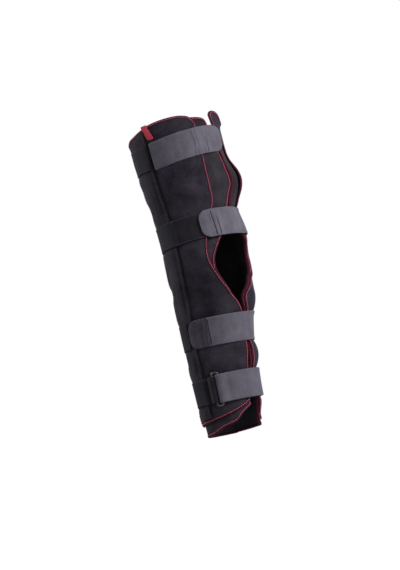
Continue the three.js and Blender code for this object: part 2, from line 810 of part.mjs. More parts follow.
function calfRing() {
  const inside = STRAP_WIDTH + 2 * RING_PLAY;
  const slot = RING_WIDTH - 2 * RING_WIRE;
  const outline = new THREE.Shape(roundedRectangle(RING_WIDTH, inside + 2 * RING_WIRE, RING_WIRE, 4));
  outline.holes.push(new THREE.Path(roundedRectangle(slot, inside, RING_WIRE / 4, 1)));
  const geometry = new THREE.ExtrudeGeometry(outline, { depth: RING_WIRE, bevelEnabled: false });
  return geometry.translate(0, 0, -RING_WIRE / 2);
}

const ring = add("calf_ring", calfRing(), "metal");
const ringTurn = RING_FRONT + barToBar / 2;
const ringTop = onLeg(ringTurn, ringHeight + STRAP_WIDTH / 2, barOut);
const ringFoot = onLeg(ringTurn, ringHeight - STRAP_WIDTH / 2, barOut);
const ringUp = ringTop.clone().sub(ringFoot).normalize();
const ahead = new THREE.Vector3(-Math.cos(degrees(ringTurn)), Math.sin(degrees(ringTurn)), 0);
const outward = new THREE.Vector3().crossVectors(ringUp, ahead).normalize().negate();
const ringSide = new THREE.Vector3().crossVectors(ringUp, outward);
ring.quaternion.setFromRotationMatrix(new THREE.Matrix4().makeBasis(ringSide, ringUp, outward));
ring.position.copy(ringTop).add(ringFoot).multiplyScalar(0.5);

// Black webbing behind: each band carries its strap round the back of the leg
const bandEnd = STRAP_SEAM - BAND_CLEARANCE;
const calfBandStart = KEEPER_END + BAND_CLEARANCE;
add("thigh_band", backBand(THIGH_LEVEL, THIGH_BAND_START, THIGH_BAND_END), "band");
add("above_knee_band", backBand(ABOVE_KNEE_LEVEL, ABOVE_KNEE_BAND_START, bandEnd), "band");
add("below_knee_band", backBand(BELOW_KNEE_LEVEL, BELOW_KNEE_BAND_START, bandEnd), "band");
add("calf_band", backBand(CALF_LEVEL, calfBandStart, bandEnd), "band");

// The red label hangs over the rim of the outer layer
function rimLabel() {
  const rimUp = heightOf(trim(LATERAL_RIM)(LABEL_ANGLE));
  const half = THREE.MathUtils.radToDeg(LABEL_WIDTH / 2 / (legRadius(rimUp) + ON_PANEL));
  const top = rimUp + LAYER_GAP + LABEL_THICKNESS / 2;
  const face = ON_PANEL + LABEL_THICKNESS / 2;
  const path = [
    { height: rimUp - LABEL_DROP, out: face },
    { height: rimUp - LABEL_DROP / 2, out: face },
    { height: rimUp - LABEL_BEND, out: face },
    { height: top, out: face - LABEL_SHOULDER },
    { height: top + LABEL_TIP_RISE, out: face - LABEL_REACH },
  ];
  const inside = [];
  const outside = [];
  path.forEach((step, i) => {
    const before = path[Math.max(i - 1, 0)];
    const after = path[Math.min(i + 1, path.length - 1)];
    const rise = after.height - before.height;
    const outward = after.out - before.out;
    const norm = Math.hypot(rise, outward);
    const shiftOut = ((rise / norm) * LABEL_THICKNESS) / 2;
    const shiftUp = ((-outward / norm) * LABEL_THICKNESS) / 2;
    const angles = [LABEL_ANGLE - half, LABEL_ANGLE, LABEL_ANGLE + half];
    inside.push(angles.map((a) => onLeg(a, step.height - shiftUp, step.out - shiftOut)));
    outside.push(angles.map((a) => onLeg(a, step.height + shiftUp, step.out + shiftOut)));
  });
  return closedShell(inside, outside);
}
add("rim_label", rimLabel(), "label");

export default brace;
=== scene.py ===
# %% [markdown]
# # Knee immobilizer
# This lesson dresses the plain CAD frame of a long knee brace in fabric, webbing, binding
# and metal. The brace is a tube of layers with an opening in front: a pad on the inside,
# a thinner outer layer over it, upright pockets that hold stiff stays, and grey straps
# that pull the whole thing shut. Every layer is described in the same way, by an angle
# round the tube, a height along it and a distance out from its inside, so each new piece
# can be laid on the one below without any fitting by hand.

# %% Load the frame
import math

import bmesh
import bpy
import numpy as np
from mathutils import Matrix, Vector


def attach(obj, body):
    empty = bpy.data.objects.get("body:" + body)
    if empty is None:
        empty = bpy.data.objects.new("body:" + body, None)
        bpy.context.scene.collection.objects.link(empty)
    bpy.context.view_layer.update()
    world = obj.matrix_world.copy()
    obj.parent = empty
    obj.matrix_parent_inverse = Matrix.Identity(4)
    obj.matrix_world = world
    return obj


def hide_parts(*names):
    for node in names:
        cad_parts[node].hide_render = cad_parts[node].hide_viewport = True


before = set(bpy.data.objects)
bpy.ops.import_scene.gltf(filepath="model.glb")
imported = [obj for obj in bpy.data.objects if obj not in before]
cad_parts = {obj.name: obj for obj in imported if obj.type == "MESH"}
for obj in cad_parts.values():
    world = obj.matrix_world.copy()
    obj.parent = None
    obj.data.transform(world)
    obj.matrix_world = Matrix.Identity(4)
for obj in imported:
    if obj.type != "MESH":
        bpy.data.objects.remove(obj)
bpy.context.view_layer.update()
print("CAD nodes:", len(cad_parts))

# %% [markdown]
# ## The form inside
# All layers lie on one imagined form, whose shape decides everything. A table gives its
# radius, and how far back its middle lies, at shares of the lengths above and below the
# knee opening. Reading the table with a smooth curve instead of straight lines keeps the
# fabric free of kinks. All sizes are in metres, because Blender's units are metres.

# %% Measures of the form
THIGH_LENGTH = 0.280
CALF_LENGTH = 0.286
THIGH_RADIUS = 0.071
KNEE_RADIUS = 0.064
CALF_RADIUS = 0.052
SHIN_RADIUS = 0.045
DEPTH_TO_WIDTH = 1.05

# up, radius, how far back the middle lies
FORM = np.array([
    (-1.05, 0.99 * SHIN_RADIUS, 0.39 * SHIN_RADIUS),
    (-0.80, 1.00 * SHIN_RADIUS, 0.43 * SHIN_RADIUS),
    (-0.60, 0.915 * CALF_RADIUS, 0.34 * CALF_RADIUS),
    (-0.385, 1.00 * CALF_RADIUS, 0.245 * CALF_RADIUS),
    (-0.19, 0.915 * KNEE_RADIUS, 0.07 * KNEE_RADIUS),
    (0.00, 1.00 * KNEE_RADIUS, -0.04 * KNEE_RADIUS),
    (0.20, 0.985 * KNEE_RADIUS, -0.02 * KNEE_RADIUS),
    (0.39, 0.985 * KNEE_RADIUS, 0.05 * KNEE_RADIUS),
    (0.59, 0.95 * THIGH_RADIUS, 0.085 * THIGH_RADIUS),
    (0.785, 1.00 * THIGH_RADIUS, 0.115 * THIGH_RADIUS),
    (1.05, 1.00 * THIGH_RADIUS, 0.175 * THIGH_RADIUS),
])


def follow(rows, at):
    """Reads a smooth curve through rows of (place, value)."""
    rows = np.asarray(rows, float)
    where, value = rows[:, 0], rows[:, 1]
    last = len(rows) - 1
    i = np.clip(np.searchsorted(where, at) - 1, 0, last - 1)
    low, high = np.maximum(i - 1, 0), np.minimum(i + 2, last)
    span = where[i + 1] - where[i]
    t = np.clip((at - where[i]) / span, 0, 1)
    slope_in = (value[i + 1] - value[low]) / (where[i + 1] - where[low]) * span
    slope_out = (value[high] - value[i]) / (where[high] - where[i]) * span
    start = (1 + 2 * t) * (1 - t) ** 2 * value[i] + t * (1 - t) ** 2 * slope_in
    return start + t * t * (3 - 2 * t) * value[i + 1] + t * t * (t - 1) * slope_out


def height_of(up):
    return np.where(up >= 0, up * THIGH_LENGTH, up * CALF_LENGTH)


def share_of(height):
    return np.where(height >= 0, height / THIGH_LENGTH, height / CALF_LENGTH)


def form_radius(height):
    return follow(FORM[:, [0, 1]], share_of(height))


print("knee radius", float(form_radius(np.array(0.0))))

# %% [markdown]
# The brace is a stack, so each layer starts where the one below it ends, plus a small
# gap. These are the thicknesses of the CAD solids too, which is why a dressed piece
# covers its solid. Angles run from the front, 0, over the outer side, 90, to the back,
# 180. The inner side has negative angles.

# %% Thicknesses of the layers, and angles of the seams
PAD = 0.0055
PANEL = 0.0026
POCKET = 0.0032
STRAP = 0.0022
BAND = 0.0016
LABEL = 0.0012
LAYER_GAP = 0.00075
ON_PAD = PAD + LAYER_GAP
ON_PANEL = ON_PAD + PANEL + LAYER_GAP
ON_POCKET = ON_PANEL + POCKET + LAYER_GAP
ON_BAND = ON_PANEL + BAND + LAYER_GAP
INNER_SIDE_LIFT = 0.0006
ON_INNER_SIDE = ON_PANEL + INNER_SIDE_LIFT
LAYERS_MIDDLE = 0.008

SIDE_SEAM = 128
SEAM_OVERLAP = 0.7
PANEL_BACK_EDGE = 148
POCKET_FRONT = 90
POCKET_BACK = 114
STRAP_SEAM = -80
print("outer layer starts", ON_PAD, "and straps lie at", ON_PANEL)

# %% [markdown]
# ## Swelling
# The straps sit at four levels. Between them the padding is free to swell, and beneath
# them it is squeezed flat. A real brace shows this as soft rolls of fabric, so one
# shared function says how far the padding stands out at each place. Because every layer
# reads the same function, a layer on top never sinks into the one below.

# %% Levels of the straps, and where the form bulges
# angle, up
THIGH_LEVEL = [(-180, 0.80), (-10, 0.818), (40, 0.795), (90, 0.772), (180, 0.80)]
ABOVE_KNEE_LEVEL = [(-180, 0.265), (-40, 0.282), (10, 0.28), (50, 0.272), (110, 0.262),
                    (180, 0.265)]
BELOW_KNEE_LEVEL = [(-180, -0.375), (-40, -0.378), (10, -0.381), (90, -0.374), (180, -0.375)]
CALF_LEVEL = [(-180, -0.73), (-40, -0.728), (60, -0.727), (180, -0.73)]
LEVELS = (THIGH_LEVEL, ABOVE_KNEE_LEVEL, BELOW_KNEE_LEVEL, CALF_LEVEL)
STRAP_WIDTH = 0.050
SQUEEZED = 0.0265
SWELL_RUN = 0.018
SWELL = 0.0022

# up, tall, angle, wide, out: where the form and the padding on it stand out more
BULGES = [
    (0.548, 0.18 * THIGH_LENGTH, -50, 38, 0.25 * THIGH_RADIUS),
    (0.20, 0.15 * THIGH_LENGTH, -48, 38, 0.06 * KNEE_RADIUS),
    (-0.21, 0.12 * CALF_LENGTH, -38, 36, 0.07 * KNEE_RADIUS),
    (-0.55, 0.10 * CALF_LENGTH, -42, 40, 0.13 * CALF_RADIUS),
    (-0.97, 0.14 * CALF_LENGTH, -36, 34, -0.13 * CALF_RADIUS),
]
BUMP_FULLNESS = 1.6


def smooth(low, high, x):
    t = np.clip((x - low) / (high - low), 0, 1)
    return t * t * (3 - 2 * t)


def wrapped(angle):
    return (np.asarray(angle, float) + 180) % 360 - 180


def bump(distance):
    return np.maximum(1 - distance * distance, 0) ** BUMP_FULLNESS


def bulge(angle, height):
    out = 0
    for up, tall, middle, wide, far in BULGES:
        across = bump((wrapped(angle) - middle) / wide)
        out = out + far * across * bump((height - height_of(np.array(up))) / tall)
    return out


def free_of_straps(angle, height):
    """0 under a strap, 1 well away from all of them."""
    free = 1
    for level in LEVELS:
        middle = height_of(follow(level, wrapped(angle)))
        free = free * smooth(SQUEEZED, SQUEEZED + SWELL_RUN, np.abs(height - middle))
    return free


print("largest bulge, mm:", round(1000 * float(bulge(-50, height_of(np.array(0.548)))), 1))

# %% [markdown]
# Two things can tell how far the padding swells: smooth noise, which is quick, and a
# grid of measured values, which is read with smooth weights so that its cells don't
# show. Both are held back over the stays, which are stiff, and over the broad bulges,
# where the fabric is stretched.

# %% Two ways to tell the swelling
LATTICE_SIDE = 97
LATTICE = np.random.RandomState(11).uniform(-1, 1, (LATTICE_SIDE, LATTICE_SIDE))
MEAN_RADIUS = 0.065
STIFFNESS_OF_STAY = 0.7
STAY_NEAR, STAY_FAR = 8, 22
STIFFNESS_OF_BULGE = 0.75
FULL_BULGE = 0.008
FIELD_FOOT, FIELD_TOP = -0.290, 0.284
simulated = None


def soft_noise(x, y):
    """Smooth noise from -1 to 1, the same on every run."""
    i, j = np.floor(x).astype(int), np.floor(y).astype(int)
    s, t = smooth(0, 1, x - i), smooth(0, 1, y - j)
    pick = lambda a, b: LATTICE[a % LATTICE_SIDE, b % LATTICE_SIDE]
    low = pick(i, j) * (1 - s) + pick(i + 1, j) * s
    high = pick(i, j + 1) * (1 - s) + pick(i + 1, j + 1) * s
    return low * (1 - t) + high * t


def held_flat(angle, height):
    """1 where the padding may swell, less over the stays and over the broad bulges."""
    stay = np.abs(np.abs(wrapped(angle)) - (POCKET_FRONT + POCKET_BACK) / 2)
    stiff = 1 - STIFFNESS_OF_STAY * (1 - smooth(STAY_NEAR, STAY_FAR, stay))
    bulging = smooth(0, FULL_BULGE, np.abs(bulge(angle, height)))
    return stiff * (1 - STIFFNESS_OF_BULGE * bulging)


def drawn_rolls(angle, height):
    """A quick stand-in for the cloth simulation: broad rolls with finer ones on them."""
    turn = np.radians(wrapped(angle)) * MEAN_RADIUS
    broad = soft_noise(turn * 22 + 5, height * 16)
    fine = soft_noise(turn * 48, height * 40 + 9)
    return SWELL * free_of_straps(angle, height) * (1 + 0.35 * (broad + 0.5 * fine))


def cubic_weights(t):
    return np.stack([-t + 2 * t ** 2 - t ** 3, 2 - 5 * t ** 2 + 3 * t ** 3,
                     t + 4 * t ** 2 - 3 * t ** 3, t ** 3 - t ** 2]) / 2


def read_field(field, angle, height):
    """Reads a grid of values smoothly. Its columns go all the way round."""
    rows, columns = field.shape
    x = (np.asarray(angle, float) + 180) % 360 / 360 * columns
    y = np.clip((height - FIELD_FOOT) / (FIELD_TOP - FIELD_FOOT), 0, 1) * (rows - 1)
    x, y = np.broadcast_arrays(x, y)
    i, j = np.floor(x).astype(int), np.floor(y).astype(int)
    across, along = cubic_weights(x - i), cubic_weights(y - j)
    total = 0
    for a in range(4):
        for b in range(4):
            values = field[np.clip(j + b - 1, 0, rows - 1), (i + a - 1) % columns]
            total = total + across[a] * along[b] * values
    return total


def rolls(angle, height):
    """How far the padding stands out between the straps."""
    if simulated is None:
        return drawn_rolls(angle, height) * held_flat(angle, height)
    return read_field(simulated, angle, height)


print("swelling at mid thigh", float(rolls(np.array(60.0), np.array(0.15))))

# %% [markdown]
# One function turns angle, height and distance out into a point. The whole lesson rests
# on it: a panel, a strap and a stitch all ask it where they are. The last number says
# how much of the swelling a piece follows. Straps are tight, so they follow none.

# %% Points on the form
def on_form(angle, height, out, rise=1.0):
    """Points at an angle and a height, some distance out from the form."""
    radius = form_radius(height)
    proud = out + bulge(angle, height) + rise * rolls(angle, height)
    turn = np.radians(angle)
    back = follow(FORM[:, [0, 2]], share_of(height))
    x = -(radius + proud) * np.sin(turn)
    y = back - (radius * DEPTH_TO_WIDTH + proud) * np.cos(turn)
    return np.stack(np.broadcast_arrays(x, y, height), -1)


print("front of the knee", on_form(0, np.array(0.0), 0).round(4))

# %% [markdown]
# Noise can suggest a soft surface, but padding that is strapped down swells in its own
# way: it is full right up to the strap, and it puckers along the strap's edge. Blender's
# cloth solver gives that. One sheet goes all the way round the form, pinned under the
# straps and at both ends. It is made a little too large and blown up gently, and how far
# it moves out is kept as a grid that every layer reads. The sheet itself is thrown away.

# %% Cloth simulation of the padding
FIELD_COLUMNS, FIELD_ROWS = 104, 134
SIM_FRAMES = 22
SPARE_CLOTH = 0.035
MOST_SWELL = 0.0034
MOST_SINK = 0.0003
BLURS = 2
CLOTH = {
    "quality": 6, "mass": 0.2, "tension_stiffness": 20, "compression_stiffness": 20,
    "shear_stiffness": 10, "bending_stiffness": 6, "air_damping": 3,
    "vertex_group_mass": "held", "use_pressure": True, "uniform_pressure_force": 3.0,
    "shrink_min": -SPARE_CLOTH,
}


def padding_sheet(start, pinned):
    """A closed ring of cloth through a grid of points, some of them pinned."""
    ids = np.arange(pinned.size).reshape(pinned.shape)
    ids = np.concatenate([ids, ids[:, :1]], 1)
    faces = np.stack([ids[:-1, 1:], ids[:-1, :-1], ids[1:, :-1], ids[1:, 1:]], -1)
    mesh = bpy.data.meshes.new("padding_sheet")
    mesh.from_pydata(start.reshape(-1, 3).tolist(), [], faces.reshape(-1, 4).tolist())
    sheet = bpy.data.objects.new("padding_sheet", mesh)
    bpy.context.scene.collection.objects.link(sheet)
    held = sheet.vertex_groups.new(name="held")
    held.add(np.flatnonzero(pinned.ravel()).tolist(), 1.0, "REPLACE")
    cloth = sheet.modifiers.new("cloth", "CLOTH")
    for setting, value in CLOTH.items():
        setattr(cloth.settings, setting, value)
    cloth.settings.effector_weights.gravity = 0
    cloth.point_cache.frame_end = SIM_FRAMES
    return sheet


def simulate_padding():
    """Blows up a sheet held by the straps. Returns how far each of its points moved out."""
    angles = np.linspace(-180, 180, FIELD_COLUMNS, endpoint=False)
    heights = np.linspace(FIELD_FOOT, FIELD_TOP, FIELD_ROWS)
    angle, height = np.meshgrid(angles, heights)
    start = on_form(angle, height, ON_PAD + PANEL, 0)
    outwards = on_form(angle, height, ON_PAD + PANEL + 0.001, 0) - start
    outwards /= np.linalg.norm(outwards, axis=-1, keepdims=True)
    pinned = free_of_straps(angle, height) <= 0
    pinned[:2], pinned[-2:] = True, True
    sheet = padding_sheet(start, pinned)
    for step in range(1, SIM_FRAMES + 1):
        bpy.context.scene.frame_set(step)
    graph = bpy.context.evaluated_depsgraph_get()
    blown = sheet.evaluated_get(graph).to_mesh()
    moved = np.empty(len(blown.vertices) * 3)
    blown.vertices.foreach_get("co", moved)
    bpy.data.objects.remove(sheet)
    bpy.context.scene.frame_set(1)
    out = ((moved.reshape(start.shape) - start) * outwards).sum(-1)
    print("swelling before the cap, mm:", np.round(np.percentile(out * 1000, [0, 50, 100]), 2))
    for _ in range(BLURS):
        out = (out + np.roll(out, 1, 1) + np.roll(out, -1, 1)) / 3
        out[1:-1] = (out[:-2] + out[1:-1] + out[2:]) / 3
    capped = MOST_SWELL * np.tanh(np.maximum(out, -MOST_SINK) / MOST_SWELL)
    return capped * held_flat(angle, height)


simulated = simulate_padding()
print("swelling at mid thigh", float(rolls(np.array(60.0), np.array(0.15))))

# %% [markdown]
# ## From points to pieces
# Each piece is a closed mesh. Building it from a grid of points gives clean quads, which
# shade smoothly and take weave patterns well. One helper turns points and faces into a
# Blender object, tells the frame which body it rides on and hides the CAD solid it stands
# for. A second one makes the many pieces that are a section swept along a path: tapes,
# straps, bands and the label.

# %% Helpers that make meshes
MATERIALS = {}
made_faces = {}


def grid_faces(ids):
    corners = (ids[:-1, :-1], ids[:-1, 1:], ids[1:, 1:], ids[1:, :-1])
    return np.stack(corners, -1).reshape(-1, 4)


def facing_out(points, faces):
    """Turns the faces round if the mesh came out inside out."""
    a, b, c = (points[faces[:, k]] for k in (0, 1, 2))
    d = points[faces[:, 3]]
    volume = (a * np.cross(b, c)).sum() + (a * np.cross(c, d)).sum()
    return faces if volume > 0 else faces[:, ::-1]


def face_ends_outwards(piece):
    """Makes the end faces look the same way as their neighbours."""
    work = bmesh.new()
    work.from_mesh(piece.data)
    bmesh.ops.recalc_face_normals(work, faces=work.faces)
    work.to_mesh(piece.data)
    work.free()


def make_piece(name, points, faces, material, stands_for=None, uv=None, caps=()):
    """A Blender object from points and quads. It rides on the brace's only body."""
    faces = facing_out(points, np.asarray(faces))
    mesh = bpy.data.meshes.new(name)
    mesh.from_pydata(points.tolist(), [], faces.tolist() + [list(cap) for cap in caps])
    if uv is not None:
        loops = np.empty(len(mesh.loops), int)
        mesh.loops.foreach_get("vertex_index", loops)
        layer = mesh.uv_layers.new(name="weave")
        layer.data.foreach_set("uv", np.asarray(uv, np.float32)[loops].ravel())
    mesh.polygons.foreach_set("use_smooth", np.ones(len(mesh.polygons), bool))
    mesh.materials.append(MATERIALS[material])
    piece = bpy.data.objects.new(name, mesh)
    bpy.context.scene.collection.objects.link(piece)
    if caps:
        face_ends_outwards(piece)
    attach(piece, "root")
    if stands_for:
        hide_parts(stands_for)
    made_faces[name] = len(mesh.polygons)
    return piece


def metres_map(along, across):
    """A UV map in metres, so that a weave has its real size."""
    return np.stack(np.broadcast_arrays(along, across), -1).reshape(-1, 2)


def swept(name, rings, material, stands_for=None, uv=None):
    """A closed tube through rings of points, with a face at each end."""
    ids = np.arange(rings[..., 0].size).reshape(rings.shape[:2])
    ids = np.concatenate([ids, ids[:, :1]], 1)
    caps = (ids[0, :-1][::-1].tolist(), ids[-1, :-1].tolist())
    return make_piece(name, rings.reshape(-1, 3), grid_faces(ids), material, stands_for,
                      uv, caps)


print("helpers ready")

# %% [markdown]
# ## Materials
# The fabrics are nearly black, so their look comes from small things: loops of pile that
# catch the light, slow changes of tone where the cloth is rubbed, and specks of lint.
# Effects that several fabrics share are node groups with named inputs and outputs. They
# put out only colours and heights, and each material keeps its own Principled shader.

# %% Helpers for nodes
def give(tree, socket, value):
    """Links a socket to another one, or sets its value."""
    if isinstance(value, bpy.types.NodeSocket):
        tree.links.new(value, socket)
    else:
        socket.default_value = value


def node(tree, kind, settings=None, **inputs):
    """A node with its settings, and values or links for its inputs."""
    made = tree.nodes.new("ShaderNode" + kind)
    for key, value in (settings or {}).items():
        setattr(made, key, value)
    for key, value in inputs.items():
        give(tree, made.inputs[key.replace("_", " ")], value)
    return made


def node_by_order(tree, kind, settings, places, values):
    """A node whose inputs are given by their order, because their names repeat."""
    made = node(tree, kind, settings)
    for place, value in zip(places, values):
        give(tree, made.inputs[place], value)
    return made


def math_node(tree, operation, *values):
    return node_by_order(tree, "Math", {"operation": operation}, (0, 1), values).outputs[0]


def vector_math(tree, operation, *values):
    return node_by_order(tree, "VectorMath", {"operation": operation}, (0, 1, 2), values).outputs[0]


def blend_colours(tree, share, first, second):
    colours = {"data_type": "RGBA"}
    return node_by_order(tree, "Mix", colours, (0, 6, 7), (share, first, second)).outputs[2]


def ranged(tree, value, low, high, to_low=0.0, to_high=1.0):
    """Maps one range of values onto another, and cuts off what lies outside."""
    return node(tree, "MapRange", Value=value, From_Min=low, From_Max=high, To_Min=to_low,
                To_Max=to_high).outputs["Result"]


def new_group(name, inputs, outputs):
    group = bpy.data.node_groups.new(name, "ShaderNodeTree")
    for direction, sockets in (("INPUT", inputs), ("OUTPUT", outputs)):
        for label, kind, value in sockets:
            socket = group.interface.new_socket(label, in_out=direction,
                                                socket_type="NodeSocket" + kind)
            if value is not None:
                socket.default_value = value
    given, put = group.nodes.new("NodeGroupInput"), group.nodes.new("NodeGroupOutput")
    return group, given.outputs, put.inputs


print("node helpers ready")

# %% [markdown]
# The padding is faced with loop pile, the soft side of hook and loop fabric. Its loops
# are cells of a Voronoi texture, and finer noise makes them fuzzy. Lint is a second
# Voronoi texture, bent by noise, of which only the middles of a few cells are kept.

# %% Loop pile and lint
COLOUR_OUT = ("Color", "Color", None)
HEIGHT_OUT = ("Height", "Float", None)


def loop_pile_group():
    group, given, put = new_group(
        "loop_pile",
        [("Vector", "Vector", None), ("Loops per metre", "Float", 900.0),
         ("Deep", "Color", (0.01, 0.01, 0.012, 1)), ("Tips", "Color", (0.04, 0.04, 0.05, 1))],
        [COLOUR_OUT, HEIGHT_OUT])
    place, scale = given["Vector"], given["Loops per metre"]
    loops = node(group, "TexVoronoi", {"feature": "SMOOTH_F1"}, Vector=place, Scale=scale,
                 Smoothness=0.6, Randomness=0.85)
    fuzz = node(group, "TexNoise", Vector=place, Scale=scale, Detail=3.0, Roughness=0.65)
    rubbed = node(group, "TexNoise", Vector=place, Scale=26.0, Detail=4.0, Roughness=0.6)
    loop_height = math_node(group, "SUBTRACT", 1.0, loops.outputs["Distance"])
    height = math_node(group, "ADD", loop_height, fuzz.outputs["Fac"])
    tone = math_node(group, "MULTIPLY", height, rubbed.outputs["Fac"])
    colour = blend_colours(group, ranged(group, tone, 0.25, 0.95), given["Deep"], given["Tips"])
    give(group, put["Color"], colour)
    give(group, put["Height"], height)
    return group


def lint_group():
    group, given, put = new_group(
        "lint",
        [("Vector", "Vector", None), ("Color", "Color", (0.02, 0.02, 0.02, 1)),
         ("Lint", "Color", (0.16, 0.15, 0.17, 1)), ("Amount", "Float", 0.5)],
        [COLOUR_OUT])
    bent = node(group, "TexNoise", Vector=given["Vector"], Scale=70.0, Detail=2.0)
    moved = vector_math(group, "MULTIPLY_ADD", bent.outputs["Color"], (0.012, 0.012, 0.012),
                        given["Vector"])
    specks = node(group, "TexVoronoi", {"feature": "F1"}, Vector=moved, Scale=260.0)
    few = node(group, "TexNoise", Vector=given["Vector"], Scale=34.0, Detail=3.0)
    share = math_node(group, "MULTIPLY", ranged(group, specks.outputs["Distance"], 0.22, 0.05),
                      ranged(group, few.outputs["Fac"], 0.5, 0.75))
    share = math_node(group, "MULTIPLY", share, given["Amount"])
    give(group, put["Color"], blend_colours(group, share, given["Color"], given["Lint"]))
    return group


LOOP_PILE, LINT = loop_pile_group(), lint_group()
print("node groups:", LOOP_PILE.name, LINT.name)

# %% [markdown]
# Webbing is woven: threads run along it and others cross it, passing over and under in
# turn. Two sine waves, one along and one across, give that surface. Long streaks make
# single threads differ, as they do in real webbing.

# %% Woven tape: threads across and ribs along
def woven_tape_group():
    group, given, put = new_group(
        "woven_tape",
        [("Vector", "Vector", None), ("Thread", "Float", 0.0011), ("Rib", "Float", 0.0016),
         ("Dark", "Color", (0.03, 0.03, 0.035, 1)), ("Light", "Color", (0.06, 0.06, 0.07, 1))],
        [COLOUR_OUT, HEIGHT_OUT])
    calc = lambda operation, *values: math_node(group, operation, *values)
    place = given["Vector"]
    parts = node(group, "SeparateXYZ", Vector=place)
    full_turn = 2 * math.pi
    along = calc("DIVIDE", parts.outputs["X"], given["Thread"])
    across = calc("DIVIDE", parts.outputs["Y"], given["Rib"])
    shifted = calc("ADD", along, calc("MULTIPLY", calc("FLOOR", across), 0.5))
    weft = calc("SINE", calc("MULTIPLY", shifted, full_turn))
    warp = calc("SINE", calc("MULTIPLY", across, full_turn))
    weave = calc("ADD", calc("MULTIPLY", weft, 0.25), calc("MULTIPLY", warp, 0.25))
    stretched = vector_math(group, "MULTIPLY", place, (1.0, 14.0, 1.0))
    streaks = node(group, "TexNoise", Vector=stretched, Scale=75.0, Detail=4.0, Roughness=0.7)
    broad = node(group, "TexNoise", Vector=place, Scale=38.0, Detail=3.0)
    height = calc("ADD", calc("ADD", weave, 0.5), calc("MULTIPLY", streaks.outputs["Fac"], 0.8))
    tone = calc("MULTIPLY", height, calc("ADD", broad.outputs["Fac"], 0.5))
    colour = blend_colours(group, ranged(group, tone, 0.35, 1.5), given["Dark"], given["Light"])
    give(group, put["Color"], colour)
    give(group, put["Height"], height)
    return group


WOVEN_TAPE = woven_tape_group()
print("node group:", WOVEN_TAPE.name)

# %% [markdown]
# A fabric material puts these groups together. Pile and lint read the object's own
# coordinates, which are the frame's metres, so the grain has the same size on every
# piece. Woven tape has a direction, so it reads the UV map called weave, which holds
# metres along and across the piece. The even values, such as sheen, are typed straight
# into the shader.

# %% Fabric, tape and metal materials
def material_parts(name):
    material = bpy.data.materials.new(name)
    material.use_nodes = True
    tree = material.node_tree
    tree.nodes.clear()
    shader = tree.nodes.new("ShaderNodeBsdfPrincipled")
    put = tree.nodes.new("ShaderNodeOutputMaterial")
    tree.links.new(shader.outputs[0], put.inputs[0])
    MATERIALS[name] = material
    return tree, shader, put


def place_group(tree, group, **inputs):
    made = node(tree, "Group", {"node_tree": group})
    for key, value in inputs.items():
        give(tree, made.inputs[key.replace("_", " ")], value)
    return made


def raise_surface(tree, shader, height, distance, strength):
    made = node(tree, "Bump", Height=height, Strength=strength, Distance=distance)
    tree.links.new(made.outputs[0], shader.inputs["Normal"])


def dress_cloth(tree, shader, surface, lint, roughness, sheen, tint, bumps, strength):
    """Adds lint and the surface's height, and sets how the cloth takes the light."""
    place = node(tree, "TexCoord").outputs["Object"]
    speckled = place_group(tree, LINT, Vector=place, Color=surface.outputs["Color"], Amount=lint)
    tree.links.new(speckled.outputs["Color"], shader.inputs["Base Color"])
    raise_surface(tree, shader, surface.outputs["Height"], bumps, strength)
    for label, value in (("Specular IOR Level", 0.12), ("Sheen Weight", sheen),
                         ("Sheen Roughness", 0.45), ("Sheen Tint", (*tint, 1)),
                         ("Roughness", roughness)):
        shader.inputs[label].default_value = value


def pile_fabric(name, deep, tips, loops):
    tree, shader, _ = material_parts(name)
    pile = place_group(tree, LOOP_PILE, Vector=node(tree, "TexCoord").outputs["Object"],
                       Loops_per_metre=loops, Deep=(*deep, 1), Tips=(*tips, 1))
    dress_cloth(tree, shader, pile, 0.5, 0.92, 0.05, (0.8, 0.8, 1.0), 0.00035, 0.7)


def woven_material(name, dark, light, thread=0.0011, rib=0.0016, lint=0.35, sheen=0.1,
                   tint=(0.9, 0.9, 1.0), bumps=0.0003):
    tree, shader, _ = material_parts(name)
    metres = node(tree, "UVMap", {"uv_map": "weave"}).outputs[0]
    weave = place_group(tree, WOVEN_TAPE, Vector=metres, Thread=thread, Rib=rib,
                        Dark=(*dark, 1), Light=(*light, 1))
    dress_cloth(tree, shader, weave, lint, 0.85, sheen, tint, bumps, 0.6)


def metal_material(name):
    tree, shader, _ = material_parts(name)
    wear = node(tree, "TexNoise", Vector=node(tree, "TexCoord").outputs["Object"], Scale=420.0,
                Detail=5.0, Roughness=0.7).outputs["Fac"]
    give(tree, shader.inputs["Roughness"], ranged(tree, wear, 0.0, 1.0, 0.18, 0.5))
    give(tree, shader.inputs["Base Color"],
         blend_colours(tree, wear, (0.05, 0.05, 0.055, 1), (0.24, 0.24, 0.26, 1)))
    raise_surface(tree, shader, wear, 0.00008, 0.4)
    shader.inputs["Metallic"].default_value = 1.0


print("material makers ready")

# %% [markdown]
# Dark fabrics still have a colour. Here the padding and the outer side are a violet
# black, the inner side is closer to navy, and the webbing of the bands is the darkest.
# The tape is a deep wine red under a thread of a lighter, pinker red.

